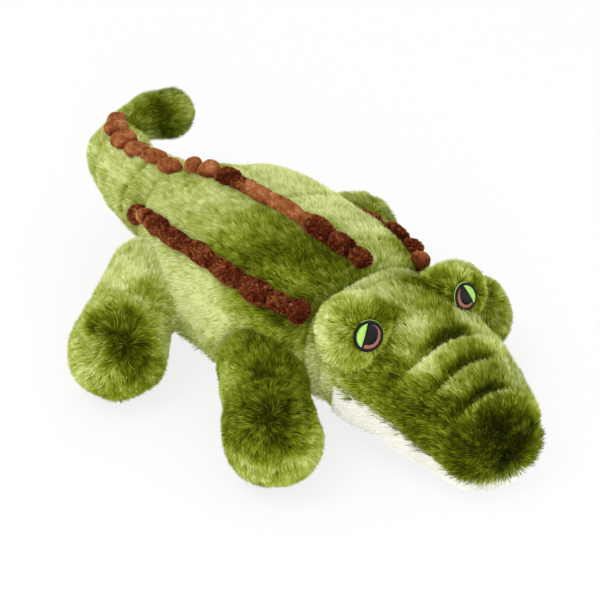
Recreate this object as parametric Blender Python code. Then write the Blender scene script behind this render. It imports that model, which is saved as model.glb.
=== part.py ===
# Plush alligator toy for a dog, lying on its belly with its legs splayed
# It faces -Y, its left side is +X, and it rests on the plane z = 0

import math

import bmesh
import bpy
from mathutils import Matrix, Vector

for thing in list(bpy.data.objects):
    bpy.data.objects.remove(thing)

mm = 0.001

# Cloth and clearances
seam_gap = 0.3 * mm
stuffing_gap = 0.6 * mm
pile_cloth = 6.0 * mm
pressed_flat = 0.5 * mm
overrun = 60.0 * mm
same_point = 0.002 * mm
# How far apart two points of a surface are taken to find its direction, as a share or in radians
probe = 0.005
crease_angle = math.radians(50.0)

# Torso, a stuffed bag of five panels
torso_length = 238.0 * mm
torso_half_width = 86.0 * mm
torso_height = 132.0 * mm
torso_ahead_share = 0.39
torso_widest_share = 0.46
torso_square_share = 0.05
# Each row is a share of the length, of the half width, and the top and underside as shares of the height
torso_row_shares = [
    (0.000, 0.74, 0.900, 0.090),
    (0.050, 0.87, 0.955, 0.040),
    (0.140, 0.96, 0.990, 0.005),
    (0.300, 1.00, 1.000, 0.000),
    (0.500, 1.00, 1.000, 0.000),
    (0.680, 0.97, 0.980, 0.000),
    (0.820, 0.88, 0.950, 0.020),
    (0.930, 0.72, 0.905, 0.110),
    (1.000, 0.53, 0.860, 0.235),
]
torso_rings = 14
# Seams by their angle from the top, in a bag that lies rolled a little to its left
back_seam = math.radians(2.5)
right_flank_seam = math.radians(50.0)
left_flank_seam = math.radians(57.0)
# The flank seams run lower over the rump, from a place on
rump_share = 0.7
right_rump_drop = math.radians(24.0)
left_rump_drop = math.radians(4.0)
belly_seam = math.radians(128.0)
back_columns = 4
side_columns = 5
belly_columns = 7

# Scalloped ridges sewn into the seams of the back
ridge_half_width = 7.5 * mm
ridge_height = 11.0 * mm
ridge_notch_share = 0.62
scallop_fullness = 0.7
ridge_tongue = 2.0 * mm
ridge_tongue_depth = 4.0 * mm
ridge_side_gap = 0.6 * mm
back_scallop_count = 8
flank_scallop_count = 9
tail_scallop_count = 6
tail_ridge_angle = math.radians(-3.0)
scallop_step_count = 4
# Each corner is a share of the half width and of the height
ridge_corner_shares = [(1.0, 0.05), (0.85, 0.7), (0.0, 1.0), (-0.85, 0.7), (-1.0, 0.05)]
back_ridge_run_shares = (0.08, 0.97)
flank_ridge_run_shares = (0.04, 0.945)
tail_ridge_run_shares = (0.01, 0.99)
tail_ridge_size_shares = (1.15, 1.0)
tail_ridge_overhang = 10.0 * mm

# Squeaker in the middle of the stuffing
squeaker_radius = 23.0 * mm
squeaker_height = 28.0 * mm
squeaker_wall = 1.5 * mm
squeaker_neck_radius = 6.0 * mm
squeaker_back = 12.0 * mm
reed_flange_radius = 8.5 * mm
reed_flange = 1.6 * mm
reed_depth = 6.0 * mm
reed_bore_radius = 2.2 * mm
squeaker_lift_share = 0.5
squeaker_segment_count = 16
squeaker_arc_count = 5

# Neck and head
neck_length = 14.0 * mm
collar_cloth = 3.5 * mm
collar_inset = 1.0 * mm
collar_rings = 3
head_length = 151.0 * mm
head_half_width = 73.0 * mm
head_height = 127.0 * mm
# Each row is a share of the length from the nose, of the half width,
# and the top, widest level and underside as shares of the height
head_row_shares = [
    (0.000, 0.00, 0.235, 0.235, 0.235),
    (0.010, 0.23, 0.330, 0.215, 0.115),
    (0.038, 0.42, 0.405, 0.195, 0.035),
    (0.082, 0.55, 0.455, 0.190, 0.005),
    (0.140, 0.63, 0.530, 0.200, 0.000),
    (0.212, 0.66, 0.570, 0.220, 0.010),
    (0.282, 0.71, 0.685, 0.245, 0.015),
    (0.355, 0.74, 0.710, 0.270, 0.030),
    (0.430, 0.79, 0.785, 0.300, 0.045),
    (0.510, 0.82, 0.785, 0.330, 0.065),
    (0.610, 0.90, 0.855, 0.365, 0.095),
    (0.720, 0.97, 0.915, 0.390, 0.110),
    (0.840, 0.99, 0.985, 0.410, 0.115),
    (0.940, 0.92, 0.990, 0.430, 0.110),
    (1.000, 0.84, 0.955, 0.440, 0.110),
]
head_columns = 18
head_turned = math.radians(3.0)
mouth_at_nose_share = 0.155
mouth_at_neck_share = 0.610
throat_share = 0.84

# Threads that pull the top of the snout into rolls
thread_radius = 0.6 * mm
thread_lift = 0.9 * mm
thread_reach = math.radians(62.0)
thread_row_shares = (5, 7, 9)
thread_columns = 12
thread_sides = 6

# Brow domes and embroidered eyes
brow_across = 31.0 * mm
brow_deep = 27.0 * mm
right_brow_up = 30.0 * mm
left_brow_up = 25.5 * mm
brow_cloth = 4.0 * mm
brow_gap = 0.6 * mm
brow_rings = 7
brow_columns = 14
brow_row_share = 0.86
right_brow_angle = math.radians(40.0)
left_brow_angle = math.radians(48.0)
brow_clear_of_neck = 1.0 * mm
right_eye_turn = math.radians(16.0)
left_eye_turn = math.radians(-11.0)
eye_tilt = math.radians(20.0)
eye_half_width = 11.2 * mm
eye_half_height = 12.2 * mm
eye_thread = 1.2 * mm
# Each field is its inner and outer edge as shares of the eye, and its start and end
# by the angle from the eye's outer corner over its top
lid_field_shares = (0.44, 0.86)
iris_field_shares = (0.50, 0.82)
lid_sweep = (math.radians(-38.0), math.radians(82.0))
iris_sweep = (math.radians(105.0), math.radians(300.0))
eye_columns = 16

# Legs, each a stuffed tube with a round foot
leg_root = 18.0 * mm
sole_seam_height = 13.0 * mm
front_foot_radius = 40.0 * mm
rear_foot_radius = 41.0 * mm
front_hip_share = 0.24
front_hip_angle = math.radians(101.0)
rear_hip_share = 0.71
rear_hip_angle = math.radians(94.0)
# Reach from the hip to the foot's centre, and how far each leg lies swept forward
front_right_reach = 74.0 * mm
front_right_swept = math.radians(56.0)
front_left_reach = 48.0 * mm
front_left_swept = math.radians(42.0)
rear_right_reach = 80.0 * mm
rear_right_swept = math.radians(34.5)
rear_left_reach = 56.0 * mm
rear_left_swept = math.radians(43.0)
# Each row is a share of the reach and of the foot's radius
front_leg_row_shares = [(0.0, 0.90), (0.25, 0.89), (0.5, 0.87), (0.75, 0.95), (1.0, 1.0)]
rear_leg_row_shares = [(0.0, 0.91), (0.25, 0.90), (0.5, 0.88), (0.75, 0.95), (1.0, 1.0)]
leg_rings = 5
foot_rings = 3
leg_columns = 14

# Tail, a stuffed tube that curls to the animal's left
tail_base_radius = 39.5 * mm
tail_root = 18.0 * mm
tail_straight = 40.0 * mm
tail_bend_radius = 106.0 * mm
tail_bend = math.radians(40.0)
tail_rise = 6.0 * mm
tail_waist_radius = 20.5 * mm
tail_end_radius = 24.5 * mm
tip_bend_radius = 31.0 * mm
tip_bend = math.radians(94.0)
tip_straight = 8.0 * mm
tail_joint_length = 14.0 * mm
tail_rings = 7
tail_straight_rings = 3
tip_rings = 5
tail_columns = 14
tail_joint_share = 0.88

slots = {
    "plush_green": ((0.325, 0.435, 0.085), 0.95),
    "plush_brown": ((0.210, 0.055, 0.022), 0.95),
    "minky_cream": ((0.860, 0.840, 0.750), 0.90),
    "thread_black": ((0.008, 0.008, 0.012), 0.55),
    "thread_lime": ((0.330, 0.720, 0.120), 0.55),
    "thread_brown": ((0.240, 0.095, 0.060), 0.55),
    "fibrefill_white": ((0.900, 0.900, 0.890), 1.00),
    "squeaker_plastic": ((0.780, 0.800, 0.800), 0.40),
}
right, left = -1, 1
side_names = {right: "right", left: "left"}
flank_seams = {right: right_flank_seam, left: left_flank_seam}
rump_drops = {right: right_rump_drop, left: left_rump_drop}
brow_ups = {right: right_brow_up, left: left_brow_up}
brow_angles = {right: right_brow_angle, left: left_brow_angle}
eye_turns = {right: right_eye_turn, left: left_eye_turn}


# Value of every column at a place from 0 to 1 on a smooth curve through the rows
def smooth(rows, place):
    spans = len(rows) - 1
    reach = min(max(place, 0.0), 1.0) * spans
    first = min(int(reach), spans - 1)
    t = reach - first
    near = [rows[min(max(first + k, 0), spans)] for k in (-1, 0, 1, 2)]
    return [
        b + 0.5 * t * ((c - a) + (2 * a - 5 * b + 4 * c - d) * t + (3 * b - a - 3 * c + d) * t ** 2)
        for a, b, c, d in zip(*near)
    ]


# A rounded section, a little squarer than an ellipse where square is above 0
def section(angle, square):
    across = (math.sin(angle) + square * math.sin(3 * angle)) / (1 - square)
    up = (math.cos(angle) - square * math.cos(3 * angle)) / (1 - square)
    return across, up


# A surface is a function of a place along it, from 0 to 1, and an angle around it
class Surface:
    def __init__(self, point, pole_normal=None):
        self.point = point
        self.pole_normal = pole_normal

    def normal(self, place, angle):
        along = self.point(min(place + probe, 1), angle) - self.point(max(place - probe, 0), angle)
        around = self.point(place, angle + probe) - self.point(place, angle - probe)
        if around.length < same_point:
            return self.pole_normal
        return around.cross(along).normalized()

    def inside(self, place, angle, depth):
        return self.point(place, angle) - self.normal(place, angle) * depth

    # Turn of the angle that moves a point of the surface sideways by a distance
    def turn_for(self, place, angle, distance):
        around = self.point(place, angle + probe) - self.point(place, angle - probe)
        return distance * 2 * probe / around.length


# Level of a share of a height, counted from the pressed underside
def level_of(share, height):
    return share * (height + pressed_flat) - pressed_flat


torso_front = -torso_ahead_share * torso_length
torso_back = torso_front + torso_length


def torso_point(place, angle):
    share_y, share_w, share_top, share_low = smooth(torso_row_shares, place)
    across, up = section(angle, torso_square_share)
    top = level_of(share_top, torso_height)
    low = level_of(share_low, torso_height)
    widest = low + torso_widest_share * (top - low)
    reach = top - widest if up > 0 else widest - low
    return Vector((
        torso_half_width * share_w * across,
        torso_front + share_y * torso_length,
        widest + reach * up,
    ))


head_back = torso_front - neck_length
head_front = head_back - head_length


def head_point(place, angle):
    share_y, share_w, share_top, share_mid, share_low = smooth(head_row_shares, place)
    top, widest, low = (level_of(share, head_height) for share in (share_top, share_mid, share_low))
    reach = top - widest if math.cos(angle) > 0 else widest - low
    ahead = (1 - share_y) * head_length
    return Vector((
        head_half_width * share_w * math.sin(angle) + math.tan(head_turned) * ahead,
        head_back - ahead,
        widest + reach * math.cos(angle),
    ))


# A limb swept along a path. The frames are its centre, direction and radius at each place for a depth
class Limb(Surface):
    def __init__(self, frames_for):
        self.frames_for = frames_for
        self.places = spread(0.0, 1.0, len(frames_for(0)) - 1)
        super().__init__(lambda place, angle: self.inside(place, angle, 0))

    def inside(self, place, angle, depth):
        frames = self.frames_for(depth)
        count = len(frames) - 1
        reach = min(max(place, 0.0), 1.0) * count
        first = min(int(reach), count - 1)
        t = reach - first
        (c0, d0, r0), (c1, d1, r1) = frames[first], frames[first + 1]
        direction = d0.lerp(d1, t).normalized()
        across = Vector((0, 0, 1)).cross(direction).normalized()
        up = direction.cross(across)
        return c0.lerp(c1, t) + (up * math.cos(angle) - across * math.sin(angle)) * (r0 + (r1 - r0) * t)


# Evenly spaced places from start to end
def spread(start, end, count):
    return [start + (end - start) * k / count for k in range(count + 1)]


# A solid skinned over closed loops of points, where points that meet become one
def loft(loops, closed, strip_ends=False):
    bm = bmesh.new()
    corners = {}

    def corner(point):
        key = tuple(round(value / same_point) for value in point)
        if key not in corners:
            corners[key] = bm.verts.new(point)
        return corners[key]

    def face(*verts):
        different = list(dict.fromkeys(verts))
        if len(different) > 2 and bm.faces.get(different) is None:
            bm.faces.new(different)

    rows = [[corner(point) for point in loop] for loop in loops]
    count = len(rows[0])
    following = rows[1:] + ([rows[0]] if closed else [])
    for row, after in zip(rows, following):
        for k in range(count):
            m = (k + 1) % count
            face(row[k], row[m], after[m], after[k])
    if not closed:
        for row in (rows[0], rows[-1]):
            if strip_ends:
                for k in range(count // 2 - 1):
                    face(row[k], row[k + 1], row[count - 2 - k], row[count - 1 - k])
            else:
                face(*row)
    bmesh.ops.recalc_face_normals(bm, faces=bm.faces)
    return bm


pivots = {}


# An empty on a joint's axis, which carries the pieces that turn about it
def pivot(name, place, parent=None):
    empty = bpy.data.objects.new(name, None)
    bpy.context.scene.collection.objects.link(empty)
    empty.empty_display_size = leg_root
    empty.location = place
    pivots[name] = place
    bpy.context.view_layer.update()
    if parent:
        empty.parent = parent
        empty.matrix_parent_inverse = parent.matrix_world.inverted()
    return empty


materials = {}


def material(slot):
    if slot not in materials:
        colour, roughness = slots[slot]
        made = bpy.data.materials.new(slot)
        made.use_nodes = True
        shader = made.node_tree.nodes["Principled BSDF"]
        shader.inputs["Base Color"].default_value = (*colour, 1)
        shader.inputs["Roughness"].default_value = roughness
        shader.inputs["Metallic"].default_value = 0
        materials[slot] = made
    return materials[slot]


# An object made from a mesh in the world's axes, carried by a joint's empty where it has one
def piece(name, bm, slot=None, parent=None):
    mesh = bpy.data.meshes.new(name)
    bm.to_mesh(mesh)
    bm.free()
    mesh.shade_smooth()
    mesh.set_sharp_from_angle(angle=crease_angle)
    made = bpy.data.objects.new(name, mesh)
    bpy.context.scene.collection.objects.link(made)
    if slot:
        mesh.materials.append(material(slot))
    else:
        made.hide_render = True
        made.display_type = "WIRE"
    if parent:
        bpy.context.view_layer.update()
        made.parent = parent
        made.matrix_parent_inverse = parent.matrix_world.inverted()
    return made


def cut(made, *cutters, operation="DIFFERENCE"):
    for cutter in cutters:
        modifier = made.modifiers.new("cut", "BOOLEAN")
        modifier.operation = operation
        modifier.solver = "EXACT"
        modifier.object = cutter


# A box cutter between two corners
def block(name, low, high, turn=None, about=None):
    bm = bmesh.new()
    bmesh.ops.create_cube(bm, size=1)
    for vert in bm.verts:
        vert.co = [high[k] if vert.co[k] > 0 else low[k] for k in range(3)]
    if turn is not None:
        bmesh.ops.rotate(bm, verts=bm.verts, cent=about, matrix=Matrix.Rotation(turn, 3, "X"))
    return piece(name, bm)


# A closed ring of points on a surface
def ring(surface, place, angles, depth):
    return [surface.inside(place, angle, depth) for angle in angles]


# Stuffing or a cutter: a solid that fills a surface to a depth under it
def stuffing(surface, places, angles, depth):
    return loft([ring(surface, place, angles, depth) for place in places], closed=False)


# A sewn tube or cup of cloth of an even thickness
def tube(surface, places, angles, cloth):
    loops = []
    for angle in angles:
        outer = [surface.point(place, angle) for place in places]
        inner = [surface.inside(place, angle, cloth) for place in places]
        loops.append(outer + inner[::-1])
    return loft(loops, closed=True)


def full_turn(columns):
    return [2 * math.pi * k / columns for k in range(columns)]


# Columns of a panel between two seams, drawn back from each seam by half its gap
def panel_angles(surface, place, start, end, columns, start_gap, end_gap):
    first = start + surface.turn_for(place, start, start_gap)
    last = end - surface.turn_for(place, end, end_gap)
    return spread(first, last, columns)


# A panel of cloth between two seams of a surface
def panel(surface, places, columns_at, cloth):
    loops = []
    for place in places:
        angles = columns_at(place)
        outer = ring(surface, place, angles, 0)
        inner = ring(surface, place, angles, cloth)
        loops.append(outer + inner[::-1])
    return loft(loops, closed=False, strip_ends=True)


# Half gaps at the seams, wider where a ridge's tongue is sewn in
ridge_seam = ridge_tongue / 2 + ridge_side_gap
plain_seam = seam_gap
torso = Surface(torso_point)
torso_places = spread(0.0, 1.0, torso_rings - 1)


# Angle of a seam down one side from the top, at a place
def back_seam_at(side, place):
    return side * back_seam


def flank_seam_at(side, place):
    over_rump = max(0.0, place - rump_share) / (1 - rump_share)
    return flank_seams[side] + rump_drops[side] * over_rump ** 2


def belly_seam_at(side, place):
    return belly_seam


# Columns of a panel on one side, between two of its seams
def columns_down(side, upper, lower, columns, lower_gap):
    def angles(place):
        ends = upper(side, place), lower(side, place)
        return [side * angle for angle in panel_angles(torso, place, *ends, columns, ridge_seam, lower_gap)]
    return angles


def back_angles(side):
    return columns_down(side, back_seam_at, flank_seam_at, back_columns, ridge_seam)


def side_angles(side):
    return columns_down(side, flank_seam_at, belly_seam_at, side_columns, plain_seam)


def belly_angles(place):
    start, end = belly_seam, 2 * math.pi - belly_seam
    return panel_angles(torso, place, start, end, belly_columns, plain_seam, plain_seam)


# All the columns of the torso's panels at a place, once round from the top
def torso_angles(place):
    one = back_angles(left)(place) + side_angles(left)(place)
    other = back_angles(right)(place) + side_angles(right)(place)
    return one + belly_angles(place)[1:-1] + [2 * math.pi + angle for angle in reversed(other)]


def torso_solid(depth, columns=torso_angles):
    return loft([ring(torso, place, columns(place), depth) for place in torso_places], closed=False)


# A row of scallops along a seam of a surface, with a tongue sewn down into the seam where it has a depth
def ridge(surface, seam_at, run, scallops, tongue_depth, size_shares=(1, 1)):
    loops = []
    count = scallops * scallop_step_count
    for k, place in enumerate(spread(run[0], run[1], count)):
        swell = abs(math.sin(math.pi * k / scallop_step_count)) ** scallop_fullness
        size = ridge_notch_share + (1 - ridge_notch_share) * swell
        size *= size_shares[0] + (size_shares[1] - size_shares[0]) * k / count
        seam = seam_at(place)
        normal = surface.normal(place, seam)
        seat = surface.point(place, seam) + normal * seam_gap
        around = (surface.point(place, seam + probe) - surface.point(place, seam - probe)).normalized()
        loop = [
            seat + around * across * ridge_half_width * size + normal * up * ridge_height * size
            for across, up in ridge_corner_shares
        ]
        if tongue_depth:
            half = around * ridge_tongue / 2
            foot = normal * (tongue_depth + seam_gap)
            loop += [seat - half, seat - half - foot, seat + half - foot, seat + half]
        loops.append(loop)
    return loft(loops, closed=False)


# Torso

neck_pivot = pivot("neck_pivot", Vector((0, torso_front - neck_length / 2, torso_point(0, math.pi / 2).z)))

panel_makers = [("back_panel", back_angles, "plush_green"), ("side_panel", side_angles, "plush_green")]
for stem, angles_for, slot in panel_makers:
    for side in (right, left):
        bm = panel(torso, torso_places, angles_for(side), pile_cloth)
        piece(f"{stem}_{side_names[side]}", bm, slot)
floor_cut = block(
    "floor_cut",
    (-torso_length - overrun, head_front - overrun, -overrun),
    (torso_length + overrun, torso_back + torso_length, 0),
)
belly = piece("belly_panel", panel(torso, torso_places, belly_angles, pile_cloth), "minky_cream")
cut(belly, floor_cut)

bm = ridge(torso, lambda place: back_seam, back_ridge_run_shares, back_scallop_count, ridge_tongue_depth)
piece("back_ridge", bm, "plush_brown")
for side in (right, left):
    bm = ridge(torso, lambda place: side * flank_seam_at(side, place), flank_ridge_run_shares,
               flank_scallop_count, ridge_tongue_depth)
    piece(f"flank_ridge_{side_names[side]}", bm, "plush_brown")


# Turned solid about an upright axis, from radius and height pairs given round its section
def turned(profile, centre, segments):
    loops = []
    for angle in full_turn(segments):
        direction = Vector((math.cos(angle), math.sin(angle), 0))
        loops.append([centre + direction * radius + Vector((0, 0, height)) for radius, height in profile])
    return loft(loops, closed=True)


# Squeaker and the pocket that the stuffing leaves for it

squeaker_centre = Vector((0, squeaker_back, torso_height * squeaker_lift_share))
half_height = squeaker_height / 2
arc = spread(-math.pi / 2, math.pi / 3, squeaker_arc_count)
neck_level = half_height - squeaker_wall


# Half outline of the bulb, from its floor's centre to the neck's edge
def bulb_outline(inset):
    flat = squeaker_radius - half_height
    outline = [(0, -half_height + inset)]
    for angle in arc:
        radius = flat + (half_height - inset) * math.cos(angle)
        outline.append((radius, (half_height - inset) * math.sin(angle)))
    return outline


outer_outline = bulb_outline(0) + [(squeaker_neck_radius, half_height)]
inner_outline = bulb_outline(squeaker_wall) + [(squeaker_neck_radius, neck_level)]
bm = turned(outer_outline + inner_outline[::-1], squeaker_centre, squeaker_segment_count)
piece("squeaker_bulb", bm, "squeaker_plastic")
reed_radius = squeaker_neck_radius - seam_gap
reed_seat = half_height + seam_gap
reed_outline = [
    (reed_bore_radius, reed_seat - reed_depth),
    (reed_radius, reed_seat - reed_depth),
    (reed_radius, reed_seat),
    (reed_flange_radius, reed_seat),
    (reed_flange_radius, reed_seat + reed_flange),
    (reed_bore_radius, reed_seat + reed_flange),
]
piece("squeaker_reed", turned(reed_outline, squeaker_centre, squeaker_segment_count), "squeaker_plastic")
pocket_top = reed_seat + reed_flange + stuffing_gap
pocket_outline = [
    (0, -half_height - stuffing_gap),
    (squeaker_radius + stuffing_gap, -half_height - stuffing_gap),
    (squeaker_radius + stuffing_gap, half_height + stuffing_gap),
    (reed_flange_radius + stuffing_gap, half_height + stuffing_gap),
    (reed_flange_radius + stuffing_gap, pocket_top),
    (0, pocket_top),
]
pocket = piece("squeaker_pocket", turned(pocket_outline, squeaker_centre, squeaker_segment_count))


# Every second column of the panels, so that the stuffing stays inside them
def torso_core_angles(place):
    return torso_angles(place)[::2]


core_depth = pile_cloth + stuffing_gap
far = torso_length + torso_half_width + overrun
halves = {"front": (squeaker_back - seam_gap / 2, far), "rear": (-far, squeaker_back + seam_gap / 2)}
for half, (start, end) in halves.items():
    made = piece(f"torso_stuffing_{half}", torso_solid(core_depth, torso_core_angles), "fibrefill_white")
    cut(made, block(f"{half}_half_cut", (-far, start, -far), (far, end, far)), pocket)

# Neck

head = Surface(head_point, Vector((0, -1, 0)))
head_rows = len(head_row_shares) - 1
head_places = spread(0.0, 1.0, head_rows)
head_angles = full_turn(head_columns)


# Collar of soft cloth from the torso's rim to the rim of the head or the tail
def rim_collar(torso_place, rim_at, angles):
    away = seam_gap if torso_place else -seam_gap

    def drawn_from(point, clear):
        top, low = torso_point(torso_place, 0).z, torso_point(torso_place, math.pi).z
        middle = Vector((0, point.y, (top + low) / 2))
        return point + (middle - point).normalized() * collar_inset + Vector((0, clear, 0))

    def point(place, angle):
        torso_rim = drawn_from(torso_point(torso_place, angle), away)
        return torso_rim.lerp(drawn_from(rim_at(angle), -away), abs(place + torso_place - 1))
    return tube(Surface(point), spread(0, 1, collar_rings - 1), angles, collar_cloth)


piece("neck_gusset", rim_collar(0, lambda angle: head_point(1, angle), head_angles), "plush_green")

# Head, a cup of cloth cut in two at the mouth

mouth_low = mouth_at_nose_share * head_height
mouth_rise = (mouth_at_neck_share - mouth_at_nose_share) * head_height
mouth_slope = math.atan2(mouth_rise, head_length)
mouth_start = Vector((0, head_front, mouth_low))
side_reach = head_half_width + overrun
end_reach = head_length + 2 * overrun
throat = head_length * throat_share / math.cos(mouth_slope)


# Wedge of space under the mouth and ahead of the throat, drawn in or out by a gap
def under_mouth(name, gap):
    low = mouth_start + Vector((-side_reach, -end_reach, -end_reach))
    high = mouth_start + Vector((side_reach, throat + gap, gap))
    return block(name, low, high, mouth_slope, mouth_start)


bm = tube(head, head_places, head_angles, pile_cloth)
head_top = piece("head_top_panel", bm, "plush_green", neck_pivot)
cut(head_top, under_mouth("jaw_place", seam_gap / 2), floor_cut)
jaw = piece("jaw_panel", tube(head, head_places, head_angles, pile_cloth), "minky_cream", neck_pivot)
cut(jaw, under_mouth("jaw_reach", -seam_gap / 2), operation="INTERSECT")
cut(jaw, floor_cut)
bm = stuffing(head, head_places, head_angles[::2], core_depth)
piece("head_stuffing", bm, "fibrefill_white", neck_pivot)
head_space = piece("head_space", stuffing(head, head_places, head_angles, -brow_gap), parent=neck_pivot)


# A thread over the snout, as a closed tube along a ring of the head
def thread(row):
    place = row / head_rows
    loops = []
    for angle in spread(-thread_reach, thread_reach, thread_columns):
        centre = head.inside(place, angle, -thread_lift - thread_radius)
        normal = (centre - head.inside(place, angle, 0)).normalized()
        along = Vector((0, 1, 0))
        along = (along - normal * along.dot(normal)).normalized()
        loops.append([
            centre + (normal * math.cos(turn) + along * math.sin(turn)) * thread_radius
            for turn in full_turn(thread_sides)
        ])
    return loft(loops, closed=False)


for number, row in enumerate(thread_row_shares, 1):
    piece(f"snout_thread_{number}", thread(row), "plush_green", neck_pivot)


# Brow domes, each an ellipsoid with its own axes

def brow_axes(side):
    forward = Vector((
        side * math.sin(eye_turns[side]) * math.cos(eye_tilt),
        -math.cos(eye_turns[side]) * math.cos(eye_tilt),
        math.sin(eye_tilt),
    ))
    across = forward.cross(Vector((0, 0, 1))).normalized() * -side
    return across, forward.cross(across).normalized() * side, forward


def brow_ball(side, inset):
    centre = head.point(brow_row_share, side * brow_angles[side])
    across, up, forward = brow_axes(side)
    loops = []
    for polar in spread(0, math.pi, brow_rings):
        loops.append([
            centre
            + across * (brow_across - inset) * math.sin(polar) * math.cos(turn)
            + up * (brow_ups[side] - inset) * math.sin(polar) * math.sin(turn)
            + forward * (brow_deep - inset) * math.cos(polar)
            for turn in full_turn(brow_columns)
        ])
    return loft(loops, closed=False)


# Point of an eye, by its share of the eye's size and its angle, lifted off the brow
def eye_point(side, share, turn, lift):
    centre = head.point(brow_row_share, side * brow_angles[side])
    across, up, forward = brow_axes(side)
    a = eye_half_width * share * math.cos(turn)
    b = eye_half_height * share * math.sin(turn)
    rest = 1 - (a / (brow_across + lift)) ** 2 - (b / (brow_ups[side] + lift)) ** 2
    return centre + across * a + up * b + forward * (brow_deep + lift) * math.sqrt(rest)


# Embroidered field between two shares of the eye and two angles, or all the way round it
def eye_field(side, shares, sweep, lift):
    turns = spread(*sweep, eye_columns // 2) if sweep else full_turn(eye_columns)
    steps = spread(*shares, 2)
    loops = []
    for turn in turns:
        outer = [eye_point(side, share, turn, lift + eye_thread) for share in steps]
        inner = [eye_point(side, share, turn, lift) for share in steps]
        loops.append(outer + inner[::-1])
    return loft(loops, closed=not sweep, strip_ends=True)


back_of_brows = block(
    "back_of_brows",
    (-side_reach, head_back - brow_clear_of_neck, -overrun),
    (side_reach, head_back + end_reach, head_height + overrun),
)
for side in (right, left):
    which = side_names[side]
    inner_ball = piece(f"brow_hollow_{which}", brow_ball(side, brow_cloth), parent=neck_pivot)
    dome = piece(f"brow_{which}", brow_ball(side, 0), "plush_green", neck_pivot)
    cut(dome, inner_ball, head_space, back_of_brows)
    bm = brow_ball(side, brow_cloth + stuffing_gap)
    fill = piece(f"brow_stuffing_{which}", bm, "fibrefill_white", neck_pivot)
    cut(fill, head_space, back_of_brows)
    second = seam_gap * 2 + eye_thread
    fields = [
        ("eye", (0.0, 1.0), None, seam_gap, "thread_black"),
        ("eye_lid", lid_field_shares, lid_sweep, second, "thread_lime"),
        ("eye_iris", iris_field_shares, iris_sweep, second, "thread_brown"),
    ]
    for stem, shares, sweep, lift, slot in fields:
        piece(f"{stem}_{which}", eye_field(side, shares, sweep, lift), slot, neck_pivot)


# Legs

torso_space = piece("torso_space", torso_solid(-seam_gap))
leg_space = piece("leg_space", torso_solid(-leg_root))
root_reach = piece("root_reach", torso_solid(seam_gap - leg_root))


# Frames of a round end beyond a centre
def round_end(centre, direction, radius):
    return [
        (centre + direction * radius * math.sin(angle), direction, radius * math.cos(angle))
        for angle in spread(0.0, math.pi / 2, foot_rings)[1:]
    ]


# A straight leg with a round foot at its end, begun well inside the torso, which it is then cut by
def leg_limb(start, direction, length, radius, rows):
    def frames_for(depth):
        frames = [(start - direction * radius, direction, radius * rows[0][1] - depth)]
        for place in spread(0.0, 1.0, leg_rings):
            share, girth = smooth(rows, place)
            frames.append((start + direction * length * share, direction, radius * girth - depth))
        return frames + round_end(start + direction * length, direction, radius - depth)
    return Limb(frames_for)


# A straight sleeve between two reaches from a start
def sleeve(start, direction, reaches, radius):
    return Limb(lambda depth: [
        (start + direction * reach, direction, radius - depth) for reach in reaches
    ])


front = (front_hip_share, front_hip_angle, front_foot_radius, front_leg_row_shares)
rear = (rear_hip_share, rear_hip_angle, rear_foot_radius, rear_leg_row_shares)
legs = [
    ("front", right, front, front_right_reach, front_right_swept),
    ("front", left, front, front_left_reach, front_left_swept),
    ("rear", right, rear, rear_right_reach, rear_right_swept),
    ("rear", left, rear, rear_left_reach, rear_left_swept),
]
sole_cut_above = block(
    "sole_cut_above",
    (-far, -far - head_length, sole_seam_height - seam_gap / 2), (far, far, far),
)
sole_cut_below = block(
    "sole_cut_below",
    (-far, -far - head_length, -far), (far, far, sole_seam_height + seam_gap / 2),
)
for pair, side, (hip_share, hip_angle, radius, rows), length, swept in legs:
    which = f"{pair}_{side_names[side]}"
    hip = torso.point(hip_share, side * hip_angle)
    drop = radius - pressed_flat - hip.z
    level = math.sqrt(length ** 2 - drop ** 2)
    direction = Vector((side * math.cos(swept) * level, -math.sin(swept) * level, drop)).normalized()
    seat = pivot(f"hip_pivot_{which}", torso.inside(hip_share, side * hip_angle, -leg_root / 2))
    leg = leg_limb(hip, direction, length, radius, rows)
    angles = full_turn(leg_columns)
    skin = piece(f"leg_skin_{which}", tube(leg, leg.places, angles, pile_cloth), "plush_green", seat)
    cut(skin, sole_cut_below, leg_space)
    sole = piece(f"sole_panel_{which}", tube(leg, leg.places, angles, pile_cloth), "plush_green", seat)
    cut(sole, sole_cut_above, floor_cut, leg_space)
    bm = stuffing(leg, leg.places, angles[::2], core_depth)
    fill = piece(f"leg_stuffing_{which}", bm, "fibrefill_white", seat)
    cut(fill, leg_space)
    root_radius = radius * rows[0][1] - collar_cloth
    root = sleeve(hip, direction, (-root_radius, 0, root_radius * 2), root_radius)
    collar = piece(f"leg_root_{which}", tube(root, root.places, angles, collar_cloth), "plush_green")
    cut(collar, torso_space)
    cut(collar, root_reach, operation="INTERSECT")


# Tail

# Centre, direction and radius along a run that turns evenly to the animal's left
def curl(start, heading, length, turn, rise, radii, steps):
    frames = []
    centre = start.copy()
    for k in range(steps + 1):
        share = k / steps
        angle = heading - turn * share
        direction = Vector((math.cos(angle), math.sin(angle), rise)).normalized()
        frames.append((centre.copy(), direction, radii[0] + (radii[1] - radii[0]) * share))
        following = heading - turn * (k + 0.5) / steps
        centre += Vector((math.cos(following), math.sin(following), rise)).normalized() * (length / steps)
    return frames


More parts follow.
